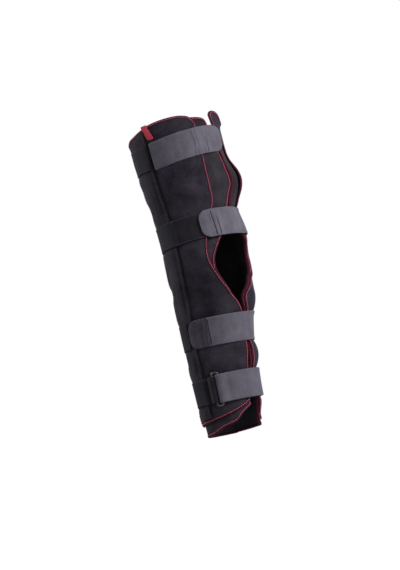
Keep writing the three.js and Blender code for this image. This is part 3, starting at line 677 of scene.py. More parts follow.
# %% The brace's own fabrics, tapes and threads
for name, deep, tips, loops in (
        ("padding_fabric", (0.0085, 0.0072, 0.0100), (0.0450, 0.0395, 0.0500), 900.0),
        ("panel_fabric", (0.0090, 0.0076, 0.0112), (0.0465, 0.0400, 0.0560), 760.0),
        ("inner_panel_fabric", (0.0080, 0.0075, 0.0125), (0.0390, 0.0370, 0.0580), 760.0),
        ("pocket_fabric", (0.0090, 0.0072, 0.0100), (0.0430, 0.0350, 0.0460), 640.0)):
    pile_fabric(name, deep, tips, loops)
woven_material("strap_webbing", (0.050, 0.0465, 0.060), (0.154, 0.143, 0.182))
woven_material("strap_end_webbing", (0.022, 0.0195, 0.026), (0.090, 0.080, 0.104))
woven_material("band_webbing", (0.0068, 0.0059, 0.0085), (0.0290, 0.0255, 0.0350), rib=0.0022,
               sheen=0.04)
woven_material("binding_tape", (0.016, 0.0034, 0.0070), (0.070, 0.0100, 0.0230), thread=0.0007,
               rib=0.0010, lint=0.15, sheen=0.03, tint=(1.0, 0.6, 0.7))
THREAD = {"thread": 0.0005, "rib": 0.0006, "lint": 0.0, "bumps": 0.0001}
woven_material("stitch_thread", (0.38, 0.080, 0.135), (0.66, 0.190, 0.280), sheen=0.03,
               tint=(1.0, 0.7, 0.8), **THREAD)
# Dark cords: real dark thread for the bands' start seams, and painted shadow for the dark lines in
# the straps' folds and tab seams.
woven_material("dark_thread_and_fold_shadow", (0.008, 0.008, 0.010), (0.022, 0.021, 0.026), **THREAD)
woven_material("band_thread", (0.036, 0.035, 0.044), (0.105, 0.102, 0.124), **THREAD)
woven_material("grey_thread", (0.060, 0.056, 0.068), (0.150, 0.142, 0.170), **THREAD)
woven_material("label_cloth", (0.27, 0.016, 0.034), (0.80, 0.085, 0.120), thread=0.0008,
               rib=0.0009, lint=0.6, tint=(1.0, 0.6, 0.6))
metal_material("ring_metal")
print("materials:", sorted(MATERIALS))

# %% [markdown]
# ## Padded layers
# Each padded layer is a sheet of foam between two cloths, cut to a curved outline and
# closed along its edge. In Blender it could be a plane with a Solidify modifier, but the
# outline would then be cut across the grid and look jagged. Here the grid itself is bent
# to the outline, and its rows sit close together in the rolled edge, so the edge is
# round and the outline exact. First come the outlines. Front edges are tables of height
# and angle, and rims and hems are tables of angle and height.

# %% Front edges of the layers, as up and angle
LATERAL_PANEL_FRONT = [
    (-.84, 10), (-.65, 2), (-.48, -2), (-.385, -1), (-.315, 1.5), (-.22, 14), (-.16, 25),
    (-.05, 41), (.04, 48.5), (.11, 48.5), (.18, 45), (.31, 34), (.38, 25), (.46, 21),
    (.66, 21.7), (.80, 23), (1, 22)]
LATERAL_LINER_FRONT = [
    (-.84, 8), (-.65, 0), (-.48, -4), (-.385, -3), (-.315, -.5), (-.22, 12), (-.16, 23),
    (-.09, 34), (-.02, 42), (.04, 42.5), (.09, 38), (.16, 28), (.21, 18), (.30, 6),
    (.38, -4), (.44, -12), (.52, -20), (.58, -18), (.68, -10), (.76, -4), (1, 2)]
MEDIAL_LINER_FRONT = [
    (-.90, -24), (-.73, -10), (-.48, -9), (-.385, -8), (-.315, -5), (-.22, 1), (-.16, -5),
    (-.09, -21), (-.04, -39), (.04, -46), (.11, -42), (.18, -30), (.24, -16), (.31, -6),
    (.38, -9), (.44, -16), (.52, -24), (.58, -22), (.68, -14), (.76, -9), (1, -7)]
MEDIAL_PANEL_FRONT = [
    (-.93, -28), (-.83, -19), (-.73, -12.5), (-.48, -11), (-.315, -7.5), (-.22, -1.5),
    (-.16, -7.5), (-.09, -24), (-.04, -43), (.04, -50), (.11, -51), (.20, -47), (.31, -40),
    (.51, -38), (.60, -37), (.68, -33), (.77, -27), (.86, -13), (.92, -4), (1, -1)]
print("rows of front edges:", len(LATERAL_PANEL_FRONT) + len(MEDIAL_PANEL_FRONT))

# %% Rims and hems, as angle and up
LATERAL_RIM = [(21, .885), (25, .94), (32, .972), (50, .985), (80, .975), (110, .945), (150, .915)]
LATERAL_LINER_RIM = [(1, .90), (5, .94), (13, .958), (32, .965), (50, .98), (80, .97),
                     (110, .94), (150, .91)]
MEDIAL_RIM = [(-150, .915), (-110, .93), (-60, .935), (-32, .932), (-25, .940), (-20, .958),
              (-14, .986), (-9, .996), (-5, .990), (-1, .965)]
MEDIAL_LINER_RIM = [(-150, .91), (-110, .925), (-60, .925), (-25, .92), (-7, .895)]
BACK_RIM = [(129, .92), (180, .90), (231, .92)]
LATERAL_HEM = [(10, -.83), (20, -.85), (43, -.88), (76, -.905), (150, -.93)]
LATERAL_LINER_HEM = [(8, -.86), (30, -.90), (45, -.94), (70, -.96), (100, -.99), (150, -1)]
MEDIAL_HEM = [(-150, -.93), (-80, -.94), (-45, -.955), (-28, -.93), (-12, -.86)]
MEDIAL_LINER_HEM = [(-150, -1), (-80, -.99), (-45, -.98), (-24, -.93), (-9, -.85)]
BACK_HEM = [(129, -1), (231, -1)]
print("rows of rims:", len(LATERAL_RIM) + len(MEDIAL_RIM) + len(BACK_RIM))

# %% [markdown]
# A grid starts as plain rows between the hem's lowest and the rim's highest point. Near
# both ends the rows are then bent onto the hem and the rim. Moving a row also moves its
# ends along the front edge, so this is done in small rounds until it settles.

# %% A grid bent to an outline
GRID_STEP = 0.0030
TRIM_FROM_RIM = 0.55
TRIM_FROM_HEM = -0.55
EDGE_ROWS = np.array([0, 0.07, 0.28, 0.6, 1.0])
TRIM_ROUNDS = 14
WIDTH_AT = 0.01


def edge_and_middle(length, roll, count):
    """Distances across a piece: close together in the rolled edges, then even."""
    middle = np.linspace(roll, length - roll, count + 1)[1:-1]
    return np.concatenate([EDGE_ROWS * roll, middle, length - EDGE_ROWS[::-1] * roll])


def outline_grid(front, back, hem, rim, roll, step=GRID_STEP):
    """Angles, heights and distances from the edge of a layer's grid of points."""
    low = min(up for _, up in hem)
    high = max(up for _, up in rim)
    floor, top = float(height_of(np.array(low))), float(height_of(np.array(high)))
    rows = floor + edge_and_middle(top - floor, roll, int((top - floor) / step))
    level = share_of(rows)
    width = np.abs(np.radians(back(level) - front(level))) * (form_radius(rows) + WIDTH_AT)
    count = int(width.max() / step)
    across = np.array([edge_and_middle(w, roll, count) for w in width])
    share = across / width[:, None]
    near_rim = smooth(TRIM_FROM_RIM, high, level)[:, None]
    near_hem = smooth(TRIM_FROM_HEM, low, level)[:, None] if low < TRIM_FROM_HEM else 0
    up = np.repeat(level[:, None], share.shape[1], 1)
    for _ in range(TRIM_ROUNDS):
        angle = front(up) + (back(up) - front(up)) * share
        to_rim, to_hem = follow(rim, angle) - high, follow(hem, angle) - low
        up = level[:, None] + near_rim * to_rim + near_hem * to_hem
    side = np.minimum(across, width[:, None] - across)
    end = np.minimum(rows - rows[0], rows[-1] - rows)[:, None]
    return angle, height_of(up), np.minimum(side, end)


def edge(rows):
    return lambda up: follow(rows, up)


def upright(angle):
    return lambda up: np.full(np.shape(up), float(angle))


print("a grid cell is", GRID_STEP, "m wide")

# %% [markdown]
# The layers are listed once, with where they start, how thick they are and how round
# their edge is. The outer layer follows the swelling a little more than the pad below,
# so there is always air between them. The inner side's front corner stands up as a tab
# to pull on, and it leans outwards.

# %% The layers
PAD_ROLL = 0.0034
PANEL_ROLL = 0.0014
LINER_RISE = 1.0
PANEL_RISE = 1.15
TAB_LEAN = 0.010
TAB_FOOT = 0.90
STAND_OFF = 0.17
WEAVE_RADIUS = 0.07


def no_lift(angle, height):
    return 0


def tab_lift(angle, height):
    """The inner side's front corner stands up and leans away at the rim."""
    high = np.clip((share_of(height) - TAB_FOOT) / (1 - TAB_FOOT), 0, 1)
    near = smooth(0, 20, -angle) * (1 - smooth(30, 48, -angle))
    return TAB_LEAN * high * near + STAND_OFF * bulge(angle, height)


# starts, thick, roll of the edge, swelling, lift, fabric, slot
LINER = (0, PAD, PAD_ROLL, LINER_RISE, no_lift, "padding_fabric", "padding")
STAY_POCKET = (ON_PANEL, POCKET, PANEL_ROLL, PANEL_RISE, no_lift, "pocket_fabric", "pocket")
LAYERS = {
    "lateral_liner": LINER, "medial_liner": LINER, "back_panel": LINER,
    "lateral_panel": (ON_PAD, PANEL, PANEL_ROLL, PANEL_RISE, no_lift, "panel_fabric", "panel"),
    "medial_panel": (ON_PAD, PANEL, PANEL_ROLL, PANEL_RISE, tab_lift, "inner_panel_fabric",
                     "panel"),
    "lateral_stay_pocket": STAY_POCKET, "medial_stay_pocket": STAY_POCKET,
}
GRIDS = {
    "lateral_liner": outline_grid(edge(LATERAL_LINER_FRONT), upright(SIDE_SEAM),
                                  LATERAL_LINER_HEM, LATERAL_LINER_RIM, PAD_ROLL),
    "medial_liner": outline_grid(edge(MEDIAL_LINER_FRONT), upright(-SIDE_SEAM),
                                 MEDIAL_LINER_HEM, MEDIAL_LINER_RIM, PAD_ROLL),
    "back_panel": outline_grid(upright(SIDE_SEAM - SEAM_OVERLAP),
                               upright(360 - SIDE_SEAM + SEAM_OVERLAP), BACK_HEM, BACK_RIM,
                               PAD_ROLL),
    "lateral_panel": outline_grid(edge(LATERAL_PANEL_FRONT), upright(PANEL_BACK_EDGE),
                                  LATERAL_HEM, LATERAL_RIM, PANEL_ROLL),
    "medial_panel": outline_grid(edge(MEDIAL_PANEL_FRONT), upright(-PANEL_BACK_EDGE),
                                 MEDIAL_HEM, MEDIAL_RIM, PANEL_ROLL),
}


def no_crown(angle, height, inward):
    return 0


def padded_layer(name, crown=no_crown):
    """A closed sheet of padding over its outline, with a rolled edge all round."""
    start, thickness, roll, rise, lift, fabric, slot = LAYERS[name]
    angle, height, inward = GRIDS[name]
    fullness = np.sqrt(1 - (1 - np.clip(inward / roll, 0, 1)) ** 2)
    away = start + lift(angle, height)
    extra = crown(angle, height, inward)
    outer = on_form(angle, height, away + thickness * (0.5 + 0.5 * fullness) + extra, rise)
    inner = on_form(angle, height, away + thickness * (0.5 - 0.5 * fullness), rise)
    outer_ids = np.arange(angle.size).reshape(angle.shape)
    inner_ids = outer_ids.copy()
    inside = inner_ids[1:-1, 1:-1]
    inside[:] = angle.size + np.arange(inside.size).reshape(inside.shape)
    points = np.concatenate([outer.reshape(-1, 3), inner[1:-1, 1:-1].reshape(-1, 3)])
    faces = np.concatenate([grid_faces(outer_ids), grid_faces(inner_ids)[:, ::-1]])
    turn = np.radians(angle) * WEAVE_RADIUS
    uv = np.concatenate([metres_map(turn, height),
                         metres_map(turn[1:-1, 1:-1], height[1:-1, 1:-1])])
    make_piece(name + "_pad", points, faces, fabric, name, uv)


for name in GRIDS:
    padded_layer(name)
print("faces so far:", sum(made_faces.values()))

# %% [markdown]
# ## Stay pockets
# A pocket is a flat tube of cloth sewn on along both long sides, and a stiff stay slides
# into it. So it is flat at its stitching, crowned along its middle, and pressed flat
# again where a strap runs over it.

# %% Pockets
POCKET_END = 0.02
POCKET_CROWN = 0.0016
POCKET_BORDER = 0.0045
POCKET_SHOULDER = 0.006
POCKET_STEP = 0.0022


def pocket_crown(angle, height, inward):
    full = smooth(POCKET_BORDER, POCKET_BORDER + POCKET_SHOULDER, inward)
    return POCKET_CROWN * full * free_of_straps(angle, height)


POCKETS = {"lateral_stay_pocket": (1, LATERAL_RIM, LATERAL_HEM),
           "medial_stay_pocket": (-1, MEDIAL_RIM, MEDIAL_HEM)}
for name, (side, rim, hem) in POCKETS.items():
    GRIDS[name] = outline_grid(upright(side * POCKET_FRONT), upright(side * POCKET_BACK),
                               [(angle, up + POCKET_END) for angle, up in hem],
                               [(angle, up - POCKET_END) for angle, up in rim],
                               PANEL_ROLL, POCKET_STEP)
    padded_layer(name, pocket_crown)
print("pocket faces:", made_faces["lateral_stay_pocket_pad"])

# %% [markdown]
# ## Binding and stitches
# The raw edges of the layers are wrapped in dark red tape. A tape round an edge is a U
# in section. Sweeping that section along the outline, with its width measured along the
# fabric, keeps it on the edge wherever the edge goes. A curve with a bevel would be
# quicker to make, but it would be a round cord instead of a flat tape.

# %% Outline paths, and tape round them
PATH_STEP = 0.0020
PATH_BLUR = np.array([1, 2, 3, 2, 1]) / 9
TAPE_WIDTH = 0.0046
TAPE = 0.0005


def border_path(name, sides):
    """Angles, heights, inward directions and distances along chosen sides of a layer."""
    angle, height, _ = GRIDS[name]
    rows = {
        "hem": (angle[0, ::-1], height[0, ::-1]),
        "front": (angle[:, 0], height[:, 0]),
        "rim": (angle[-1, :], height[-1, :]),
        "back": (angle[::-1, -1], height[::-1, -1]),
    }
    angles = np.concatenate([rows[side][0] for side in sides])
    heights = np.concatenate([rows[side][1] for side in sides])
    run = np.diff(np.radians(angles)) * (form_radius(heights[1:]) + LAYERS_MIDDLE)
    gone = np.concatenate([[0], np.cumsum(np.hypot(run, np.diff(heights)))])
    keep = np.concatenate([[True], np.diff(gone) > 1e-7])
    angles, heights, gone = angles[keep], heights[keep], gone[keep]
    at = np.linspace(0, gone[-1], int(gone[-1] / PATH_STEP) + 1)
    angles, heights = np.interp(at, gone, angles), np.interp(at, gone, heights)
    turn = np.gradient(np.radians(angles)) * (form_radius(heights) + LAYERS_MIDDLE)
    climb = np.gradient(heights)
    norm = np.hypot(turn, climb)
    way = 1 if angle[0, -1] > angle[0, 0] else -1
    inward_turn, inward_climb = way * climb / norm, -way * turn / norm
    for part in (inward_turn, inward_climb):
        part[2:-2] = np.convolve(part, PATH_BLUR, "valid")
    return angles, heights, inward_turn, inward_climb, at


def edge_tape(name, path, layer):
    """Tape folded round a layer's edge. Its section is listed as width and out."""
    start, thickness, _, rise, lift = LAYERS[layer][:5]
    angles, heights, turn, climb, gone = path
    half = thickness / 2
    section = [
        (TAPE_WIDTH, half + 0.2 * TAPE), (0.92 * TAPE_WIDTH, half + TAPE),
        (0.5 * TAPE_WIDTH, half + 1.1 * TAPE), (0.0010, half + 0.9 * TAPE),
        (0.0001, half + 0.3 * TAPE), (-0.0005, 0.55 * half), (-0.0007, 0),
        (-0.0005, -0.55 * half), (0.0001, -half - 0.3 * TAPE), (0.0010, -half - 0.9 * TAPE),
        (0.5 * TAPE_WIDTH, -half - TAPE), (0.92 * TAPE_WIDTH, -half - 0.9 * TAPE),
        (TAPE_WIDTH, -half - 0.2 * TAPE)]
    width, out = np.array(section).T
    radius = (form_radius(heights) + LAYERS_MIDDLE)[:, None]
    angle = angles[:, None] + np.degrees(turn[:, None] * width / radius)
    height = heights[:, None] + climb[:, None] * width
    rings = on_form(angle, height, start + half + lift(angle, height) + out, rise)
    run = np.cumsum(np.hypot(np.diff(width, prepend=width[0]), np.diff(out, prepend=out[0])))
    swept(name, rings, "binding_tape", uv=metres_map(gone[:, None], run[None, :]))


print("tape width", TAPE_WIDTH)

# %% [markdown]
# A row of machine stitches is a row of short, rounded threads that dip into the cloth at
# both ends. Each stitch is a tube of a few rings. All stitches of one row are made at
# once and kept as one mesh, because hundreds of small objects would slow Blender down.

# %% Rows of stitches
RING = 6


def stitches(name, angles, heights, outs, rise, material, long=0.0034, gap=0.0008,
             radius=0.00045, steps=6, bluntness=4):
    """Short rounded stitches along a path on the brace."""
    line = on_form(angles, heights, outs, rise)
    gone = np.concatenate([[0], np.cumsum(np.linalg.norm(np.diff(line, axis=0), axis=1))])
    count = max(int(gone[-1] / (long + gap)), 1)
    share = np.linspace(0, 1, steps)
    at = (np.arange(count) * (long + gap))[:, None] + share * long
    middle = np.stack([np.interp(at, gone, line[:, k]) for k in range(3)], -1)
    above = on_form(angles, heights, outs + 0.001, rise)
    normal = np.stack([np.interp(at, gone, (above - line)[:, k]) for k in range(3)], -1)
    normal /= np.linalg.norm(normal, axis=-1, keepdims=True)
    side = np.cross(np.gradient(middle, axis=1), normal)
    side /= np.linalg.norm(side, axis=-1, keepdims=True)
    arch = np.sqrt(np.clip(1 - (2 * share - 1) ** bluntness, 0.05, 1))[None, :, None]
    middle = middle + normal * radius * (1.1 * arch - 0.9)
    turn = np.linspace(0, 2 * math.pi, RING, endpoint=False)
    ring = (np.cos(turn)[:, None] * normal[:, :, None, :]
            + np.sin(turn)[:, None] * side[:, :, None, :])
    rings = middle[:, :, None, :] + ring * radius * arch[..., None]
    ids = np.arange(rings[..., 0].size).reshape(count, steps, RING)
    ids = np.concatenate([ids, ids[:, :, :1]], 2)
    corners = (ids[:, :-1, :-1], ids[:, :-1, 1:], ids[:, 1:, 1:], ids[:, 1:, :-1])
    faces = [np.stack(corners, -1).reshape(-1, 4)]
    for end in (0, -1):
        loop = ids[:, end, :-1]
        faces += [loop[:, [0, 1, 2, 3]], loop[:, [3, 4, 5, 0]]]
    along = np.repeat(at.reshape(-1), RING)
    face_ends_outwards(make_piece(name, rings.reshape(-1, 3), np.concatenate(faces), material,
                                  uv=metres_map(along, np.zeros_like(along))))


def moved_in(path, inset):
    """Angles and heights of a line that runs inside an outline path."""
    angles, heights, turn, climb, _ = path
    radius = form_radius(heights) + LAYERS_MIDDLE
    return angles + np.degrees(turn * inset / radius), heights + climb * inset


print("points round a stitch:", RING)

# %% [markdown]
# The liners and the outer layers get tape with a stitched line on it, a little inside
# the edge. The thread is lighter than the tape, which makes the outlines of the brace
# stand out. The inner side's liner is stitched only as far as the upper part of the front
# opening. Higher up, its edge comes close to the other liner's stitched edge, so it is
# left plain. The back panel has tape at its rim and hem alone, without stitches, and the
# pockets have no tape, only a row of stitches along each side.

# %% Bound edges and pocket stitches
STITCH_INSET = 0.56
STITCH_ON_TAPE = 1.2
BINDING_STITCH = 0.00066
MEDIAL_LINER_BARE = 0.055
NOWHERE_BARE = 1.0
POCKET_STITCH_INSET = 0.0030
POCKET_THREAD = 0.0004
ALL_SIDES = ("hem", "front", "rim", "back")
OPEN_SIDES = ("hem", "front", "rim")


def bind(name, sides, bare_above=NOWHERE_BARE):
    """Tape and a stitched line along chosen sides of a layer."""
    start, thickness, _, rise, lift = LAYERS[name][:5]
    path = border_path(name, sides)
    edge_tape(name + "_binding", path, name)
    angles, heights = moved_in(path, STITCH_INSET * TAPE_WIDTH)
    away = start + thickness + STITCH_ON_TAPE * TAPE + lift(angles, heights) * np.ones(len(angles))
    sewn = heights < bare_above
    stitches(name + "_binding_stitches", angles[sewn], heights[sewn], away[sewn], rise,
             "stitch_thread", radius=BINDING_STITCH)


bind("lateral_liner", OPEN_SIDES)
bind("medial_liner", OPEN_SIDES, MEDIAL_LINER_BARE)
bind("lateral_panel", ALL_SIDES)
bind("medial_panel", ALL_SIDES)
for name in POCKETS:
    for side in ("front", "back"):
        angles, heights, turn, climb, gone = border_path(name, (side,))
        inward = np.degrees(turn * POCKET_STITCH_INSET / (form_radius(heights) + ON_POCKET))
        stitches(name + "_" + side + "_stitches", angles + inward, heights,
                 np.full(len(gone), ON_PANEL + POCKET), PANEL_RISE, "band_thread",
                 radius=POCKET_THREAD)
for end in ("rim", "hem"):
    edge_tape("back_panel_" + end + "_binding", border_path("back_panel", (end,)), "back_panel")
print("binding and stitch faces:",
      sum(count for name, count in made_faces.items() if "binding" in name))

# %% [markdown]
# ## Straps and bands
# A strap is flat webbing laid on whatever is under it. Its path is a list of angles with
# the distance out of the layer that it lies on there. Sweeping a thin rounded section
# along that path, with its width measured upwards, gives a strap that follows every
# change of layer. Both long edges have a thicker woven selvedge, and round ends come
# from narrowing the section towards the end.

# %% Paths of straps
END_RADIUS = 0.017
SQUARE_END = 0.003
BAND_WIDTH = 0.046
STATION = 0.0015
BEND_STEP = 1.2
END_RUN = 0.006
NEAR_END = np.array([0, 0.0003, 0.0008, 0.0014, 0.0022, 0.0032, 0.0044])


def lying(rows, thickness, ease=5):
    """Angles and distances out along rows of (angle, what it lies on), with soft bends."""
    angles, on = np.array(rows, float).T
    count = int(abs(angles[-1] - angles[0]) / BEND_STEP) + 2
    at = np.linspace(angles[0], angles[-1], count)
    way = np.sign(angles[-1] - angles[0])
    out = np.interp(way * at, way * angles, on)
    if count > 2 * ease:
        padded = np.pad(out, ease // 2, mode="edge")
        out = np.convolve(padded, np.ones(ease) / ease, "valid")
    return at, out + thickness / 2


def stations(angles, outs, level):
    """The same path at even distances, with more of them near its two ends."""
    heights = height_of(follow(level, wrapped(angles)))
    radius = form_radius(heights) + outs
    mid = (radius[1:] + radius[:-1]) / 2
    run = np.hypot(np.radians(np.diff(angles)) * mid, np.diff(outs))
    gone = np.concatenate([[0], np.cumsum(run)])
    total = gone[-1]
    even = np.linspace(END_RUN, total - END_RUN, int(total / STATION))
    at = np.concatenate([NEAR_END, even, total - NEAR_END[::-1]])
    return np.interp(at, gone, angles), np.interp(at, gone, outs), at, total


def half_width(width, distance, radius):
    """Half of a strap's width at a distance from its rounded end."""
    short = np.clip(radius - distance, 0, radius)
    return width / 2 - radius + np.sqrt(np.maximum(radius ** 2 - short ** 2, 0))


print("strap width", STRAP_WIDTH, "and band width", BAND_WIDTH)

# %% [markdown]
# Straps, bands and the label share one flat, rounded section: a row of points on top,
# three round each side, and a row underneath. A pleat is a low ridge across the strap,
# slightly wavy, where the webbing is gathered before it is sewn down.

# %% The section, and a strap from its path
ACROSS = np.array([0, .05, .1, .14, .2, .3, .42, .5, .58, .7, .8, .86, .9, .95, 1]) * 2 - 1
CORNER = np.array([math.pi / 3, 0, -math.pi / 3])
FLAT = np.zeros(len(ACROSS))
SIDES = np.concatenate([ACROSS, np.ones(3), ACROSS[::-1], -np.ones(3)])
ROUNDING = np.concatenate([FLAT, np.cos(CORNER), FLAT, -np.cos(CORNER)])
TIP_RUN = 0.0012
RIPPLE = 0.00018

# width, thickness, webbing, slot, selvedge
GREY_STRAP = (STRAP_WIDTH, STRAP, "strap_webbing", "webbing", 0.0003)
BLACK_BAND = (BAND_WIDTH, BAND, "band_webbing", "band", 0.0002)


def section_out(top):
    """How far each point of the section lies from its middle, for a row of top points."""
    return np.concatenate([top, np.sin(CORNER), -top[::-1], -np.sin(CORNER)])


def pleat_ridges(pleats, angles, radius, across):
    lift = np.zeros_like(across)
    for place, size, run in pleats:
        away = np.radians(angles[:, None] - place) * radius[:, None]
        shift = 0.0012 * np.sin(across / 0.009 + place)
        ridge = size * np.exp(-((away - shift) / run) ** 2)
        lift = lift + ridge * (0.8 + 0.2 * np.cos(across / 0.011))
    return lift


def strap(name, kind, path, level, start_radius=SQUARE_END, end_radius=SQUARE_END, pleats=(),
          dark_end=None):
    """A strap along a path, with selvedges, rounded corners and soft pleats."""
    width, thickness, material, slot, selvedge = kind
    angles, outs, at, total = stations(*path, level)
    heights = height_of(follow(level, wrapped(angles)))
    radius = form_radius(heights) + outs
    turn, rise = np.gradient(np.radians(angles)) * radius, np.gradient(outs)
    norm = np.hypot(turn, rise)
    turn, rise = turn / norm, rise / norm
    half = np.minimum(half_width(width, at, start_radius),
                      half_width(width, total - at, end_radius))
    tip = np.clip(np.minimum(at, total - at) / TIP_RUN, 0, 1)
    full = (np.sqrt(1 - (1 - tip) ** 2) * 0.7 + 0.3)[:, None]
    side = np.abs(ACROSS)
    bead = np.exp(-((side - 0.93) / 0.035) ** 2) - 0.5 * np.exp(-((side - 0.83) / 0.03) ** 2)
    out_from_middle = section_out(1 + selvedge * bead / (thickness / 2))
    rounded = ROUNDING * thickness / 2 * full
    across = half[:, None] * SIDES - np.sign(SIDES) * thickness / 2 + rounded
    normal = out_from_middle * thickness / 2 * full
    ripple = RIPPLE * soft_noise(at[:, None] * 160, across * 60 + 3) + RIPPLE
    angle = angles[:, None] - np.degrees(rise[:, None] * normal / radius[:, None])
    out = (outs[:, None] + turn[:, None] * normal + pleat_ridges(pleats, angles, radius, across)
           + ripple * full)
    rings = on_form(angle, heights[:, None] + across, out, 0)
    piece = swept(name + "_webbing", rings, material, name, metres_map(at[:, None], across))
    if dark_end is not None:
        piece.data.materials.append(MATERIALS["strap_end_webbing"])
        darker = np.repeat(angles[1:] > dark_end, len(SIDES))
        both_caps = [angles[0] > dark_end, angles[-1] > dark_end]
        piece.data.polygons.foreach_set("material_index",
                                        np.concatenate([darker, both_caps]).astype(np.int32))
    return angles, heights, outs + thickness / 2, at, total


print("points round a strap:", len(SIDES))

# %% [markdown]
# The thigh strap is sewn on at the outer pocket and ends in front. The next two come
# round from the inner side and end on the outer side, the lower one with a darker end.
# Each list of rows says what the strap lies on as it goes round.

# %% Three straps that close with a round end
thigh_run = strap(
    "thigh_strap", GREY_STRAP,
    lying([(87.5, ON_PANEL), (20, ON_PANEL), (10, ON_PAD), (-6, ON_PAD), (-12, ON_INNER_SIDE),
           (-15, ON_INNER_SIDE)], STRAP),
    THIGH_LEVEL, SQUARE_END, END_RADIUS,
    pleats=((30, 0.0013, 0.0022), (25, 0.0010, 0.0024), (16, 0.0012, 0.0024),
            (10, 0.0011, 0.0026), (52, 0.0004, 0.006)))
above_run = strap(
    "above_knee_strap", GREY_STRAP,
    lying([(50, ON_BAND), (41, ON_BAND), (36, ON_PANEL), (24, ON_PANEL), (17, ON_PAD),
           (-26, ON_PAD), (-36, ON_INNER_SIDE), (STRAP_SEAM, ON_INNER_SIDE)], STRAP),
    ABOVE_KNEE_LEVEL, END_RADIUS, SQUARE_END,
    pleats=((28, 0.0012, 0.0024), (22, 0.0011, 0.0020), (34, 0.0007, 0.0030)))
below_run = strap(
    "below_knee_strap", GREY_STRAP,
    lying([(97, ON_POCKET), (86, ON_POCKET), (76, ON_PANEL), (-20, ON_INNER_SIDE),
           (STRAP_SEAM, ON_INNER_SIDE)], STRAP),
    BELOW_KNEE_LEVEL, END_RADIUS, SQUARE_END,
    pleats=((72, 0.0011, 0.0022), (66, 0.0009, 0.0024), (20, 0.0003, 0.008)), dark_end=64.5)
print("thigh strap length", round(float(thigh_run[-1]), 4))

# %% [markdown]
# The calf strap goes round the front bar of a metal ring and comes back on itself. Its
# path is two lying parts with half a turn round the bar between them. The keeper is a
# short loop of black webbing that holds the ring's other bar in the same way.

# %% The fold round the ring, the calf strap and the keeper
RING_FRONT = 61
RING_WIRE = 0.0032
RING_PLAY = 0.0025
RING_GAP = 0.00075
KEEPER_END = 81
FOLD_RUN = 3
FOLD_SLOPE = 13
CALF_STRAP_END = -52


def fold_radius(thickness):
    return RING_WIRE * math.sqrt(0.5) + RING_GAP + thickness / 2


ring_height = float(height_of(follow(CALF_LEVEL, np.array(float(RING_FRONT)))))
calf_round = float(form_radius(np.array(ring_height))) + ON_PANEL
strap_fold, keeper_fold = fold_radius(STRAP), fold_radius(BAND)
bar_spacing = strap_fold + keeper_fold + (STRAP + BAND) / 2 + RING_GAP
bar_out = ON_PANEL + STRAP / 2 + strap_fold
bar_to_bar = math.degrees(bar_spacing / (calf_round + strap_fold))
ring_back = RING_FRONT + bar_to_bar
ON_STRAP = ON_PANEL + STRAP + LAYER_GAP
OVER_INNER_SIDE = ON_STRAP + INNER_SIDE_LIFT


def fold_round(bar_angle, radius, way):
    """Half a turn of webbing round a bar of the ring."""
    turn = np.radians(np.arange(-90, 91, 10))
    return (bar_angle + way * np.degrees(radius * np.cos(turn) / calf_round),
            bar_out + radius * np.sin(turn))


def joined(*paths):
    return np.concatenate([p[0] for p in paths]), np.concatenate([p[1] for p in paths])


calf_run = strap("calf_strap", GREY_STRAP, joined(
    lying([(STRAP_SEAM, ON_INNER_SIDE), (-20, ON_INNER_SIDE), (0, ON_PANEL),
           (RING_FRONT - FOLD_RUN, ON_PANEL)], STRAP),
    fold_round(RING_FRONT, strap_fold, 1),
    lying([(RING_FRONT - FOLD_RUN, ON_PANEL + 2 * strap_fold), (RING_FRONT - FOLD_SLOPE, ON_STRAP),
           (0, ON_STRAP), (-20, OVER_INNER_SIDE), (CALF_STRAP_END, OVER_INNER_SIDE)], STRAP)),
    CALF_LEVEL, SQUARE_END, END_RADIUS)
keeper_under = bar_out - keeper_fold - BAND / 2
keeper_over = bar_out + keeper_fold - BAND / 2
strap("ring_keeper", BLACK_BAND, joined(
    lying([(KEEPER_END, ON_PANEL), (ring_back + FOLD_RUN, keeper_under)], BAND),
    fold_round(ring_back, keeper_fold, -1),
    lying([(ring_back + FOLD_RUN, keeper_over), (KEEPER_END, ON_BAND)], BAND)), CALF_LEVEL)
print("ring spacing", round(bar_spacing, 4))

# %% [markdown]
# A strap has a row of stitches along both edges, the calf strap only on the part that is
# folded back, and the thigh strap has another row across its sewn end. Where a strap is
# folded and sewn down, and where a tab is sewn on, the shade in the fold or at the seam is
# painted as one dark line from edge to edge: a painted shadow. It is made like a single long
# stitch with blunt ends, and it wavers a little, as a fold in thick webbing does.

# %% Stitch rows, and painted shadows of folds and tab seams on the straps
SEAM_INSET = 0.0042
SEAM_THREAD = 0.0004
SEAM_STITCH, SEAM_GAP = 0.0026, 0.0010
NEAR_SQUARE_END, NEAR_ROUND_END = 0.004, 0.018
END_SEAM_ANGLE, END_SEAM_INSET = 84, 0.005
LINE_POINTS = 24
THREAD_LIFT, FOLD_LIFT = 0.0002, 0.0001
FOLD_INSET, FOLD_SHORT = 0.0007, 0.0018
FOLD_WAVER, WAVER_LENGTH = 0.5, 0.012


def seam_along(name, run, width, inset, first, last, thread, radius=SEAM_THREAD):
    """Two rows of stitches inside a strap's long edges."""
    angles, heights, outs, at, total = run
    keep = (at >= first) & (at <= (total - last))
    for label, side in (("upper", 1), ("lower", -1)):
        stitches(name + "_" + label + "_stitches", angles[keep],
                 heights[keep] + side * (width / 2 - inset), outs[keep] + THREAD_LIFT, 0, thread,
                 SEAM_STITCH, SEAM_GAP, radius)


def line_across(run, width, place, inset, lift):
    """Points from edge to edge of a strap, at an angle round the brace."""
    angles, heights, outs, at, total = run
    nearest = int(np.argmin(np.abs(angles - place)))
    across = np.linspace(-width / 2 + inset, width / 2 - inset, LINE_POINTS)
    return heights[nearest], across, np.full(LINE_POINTS, outs[nearest] + lift)


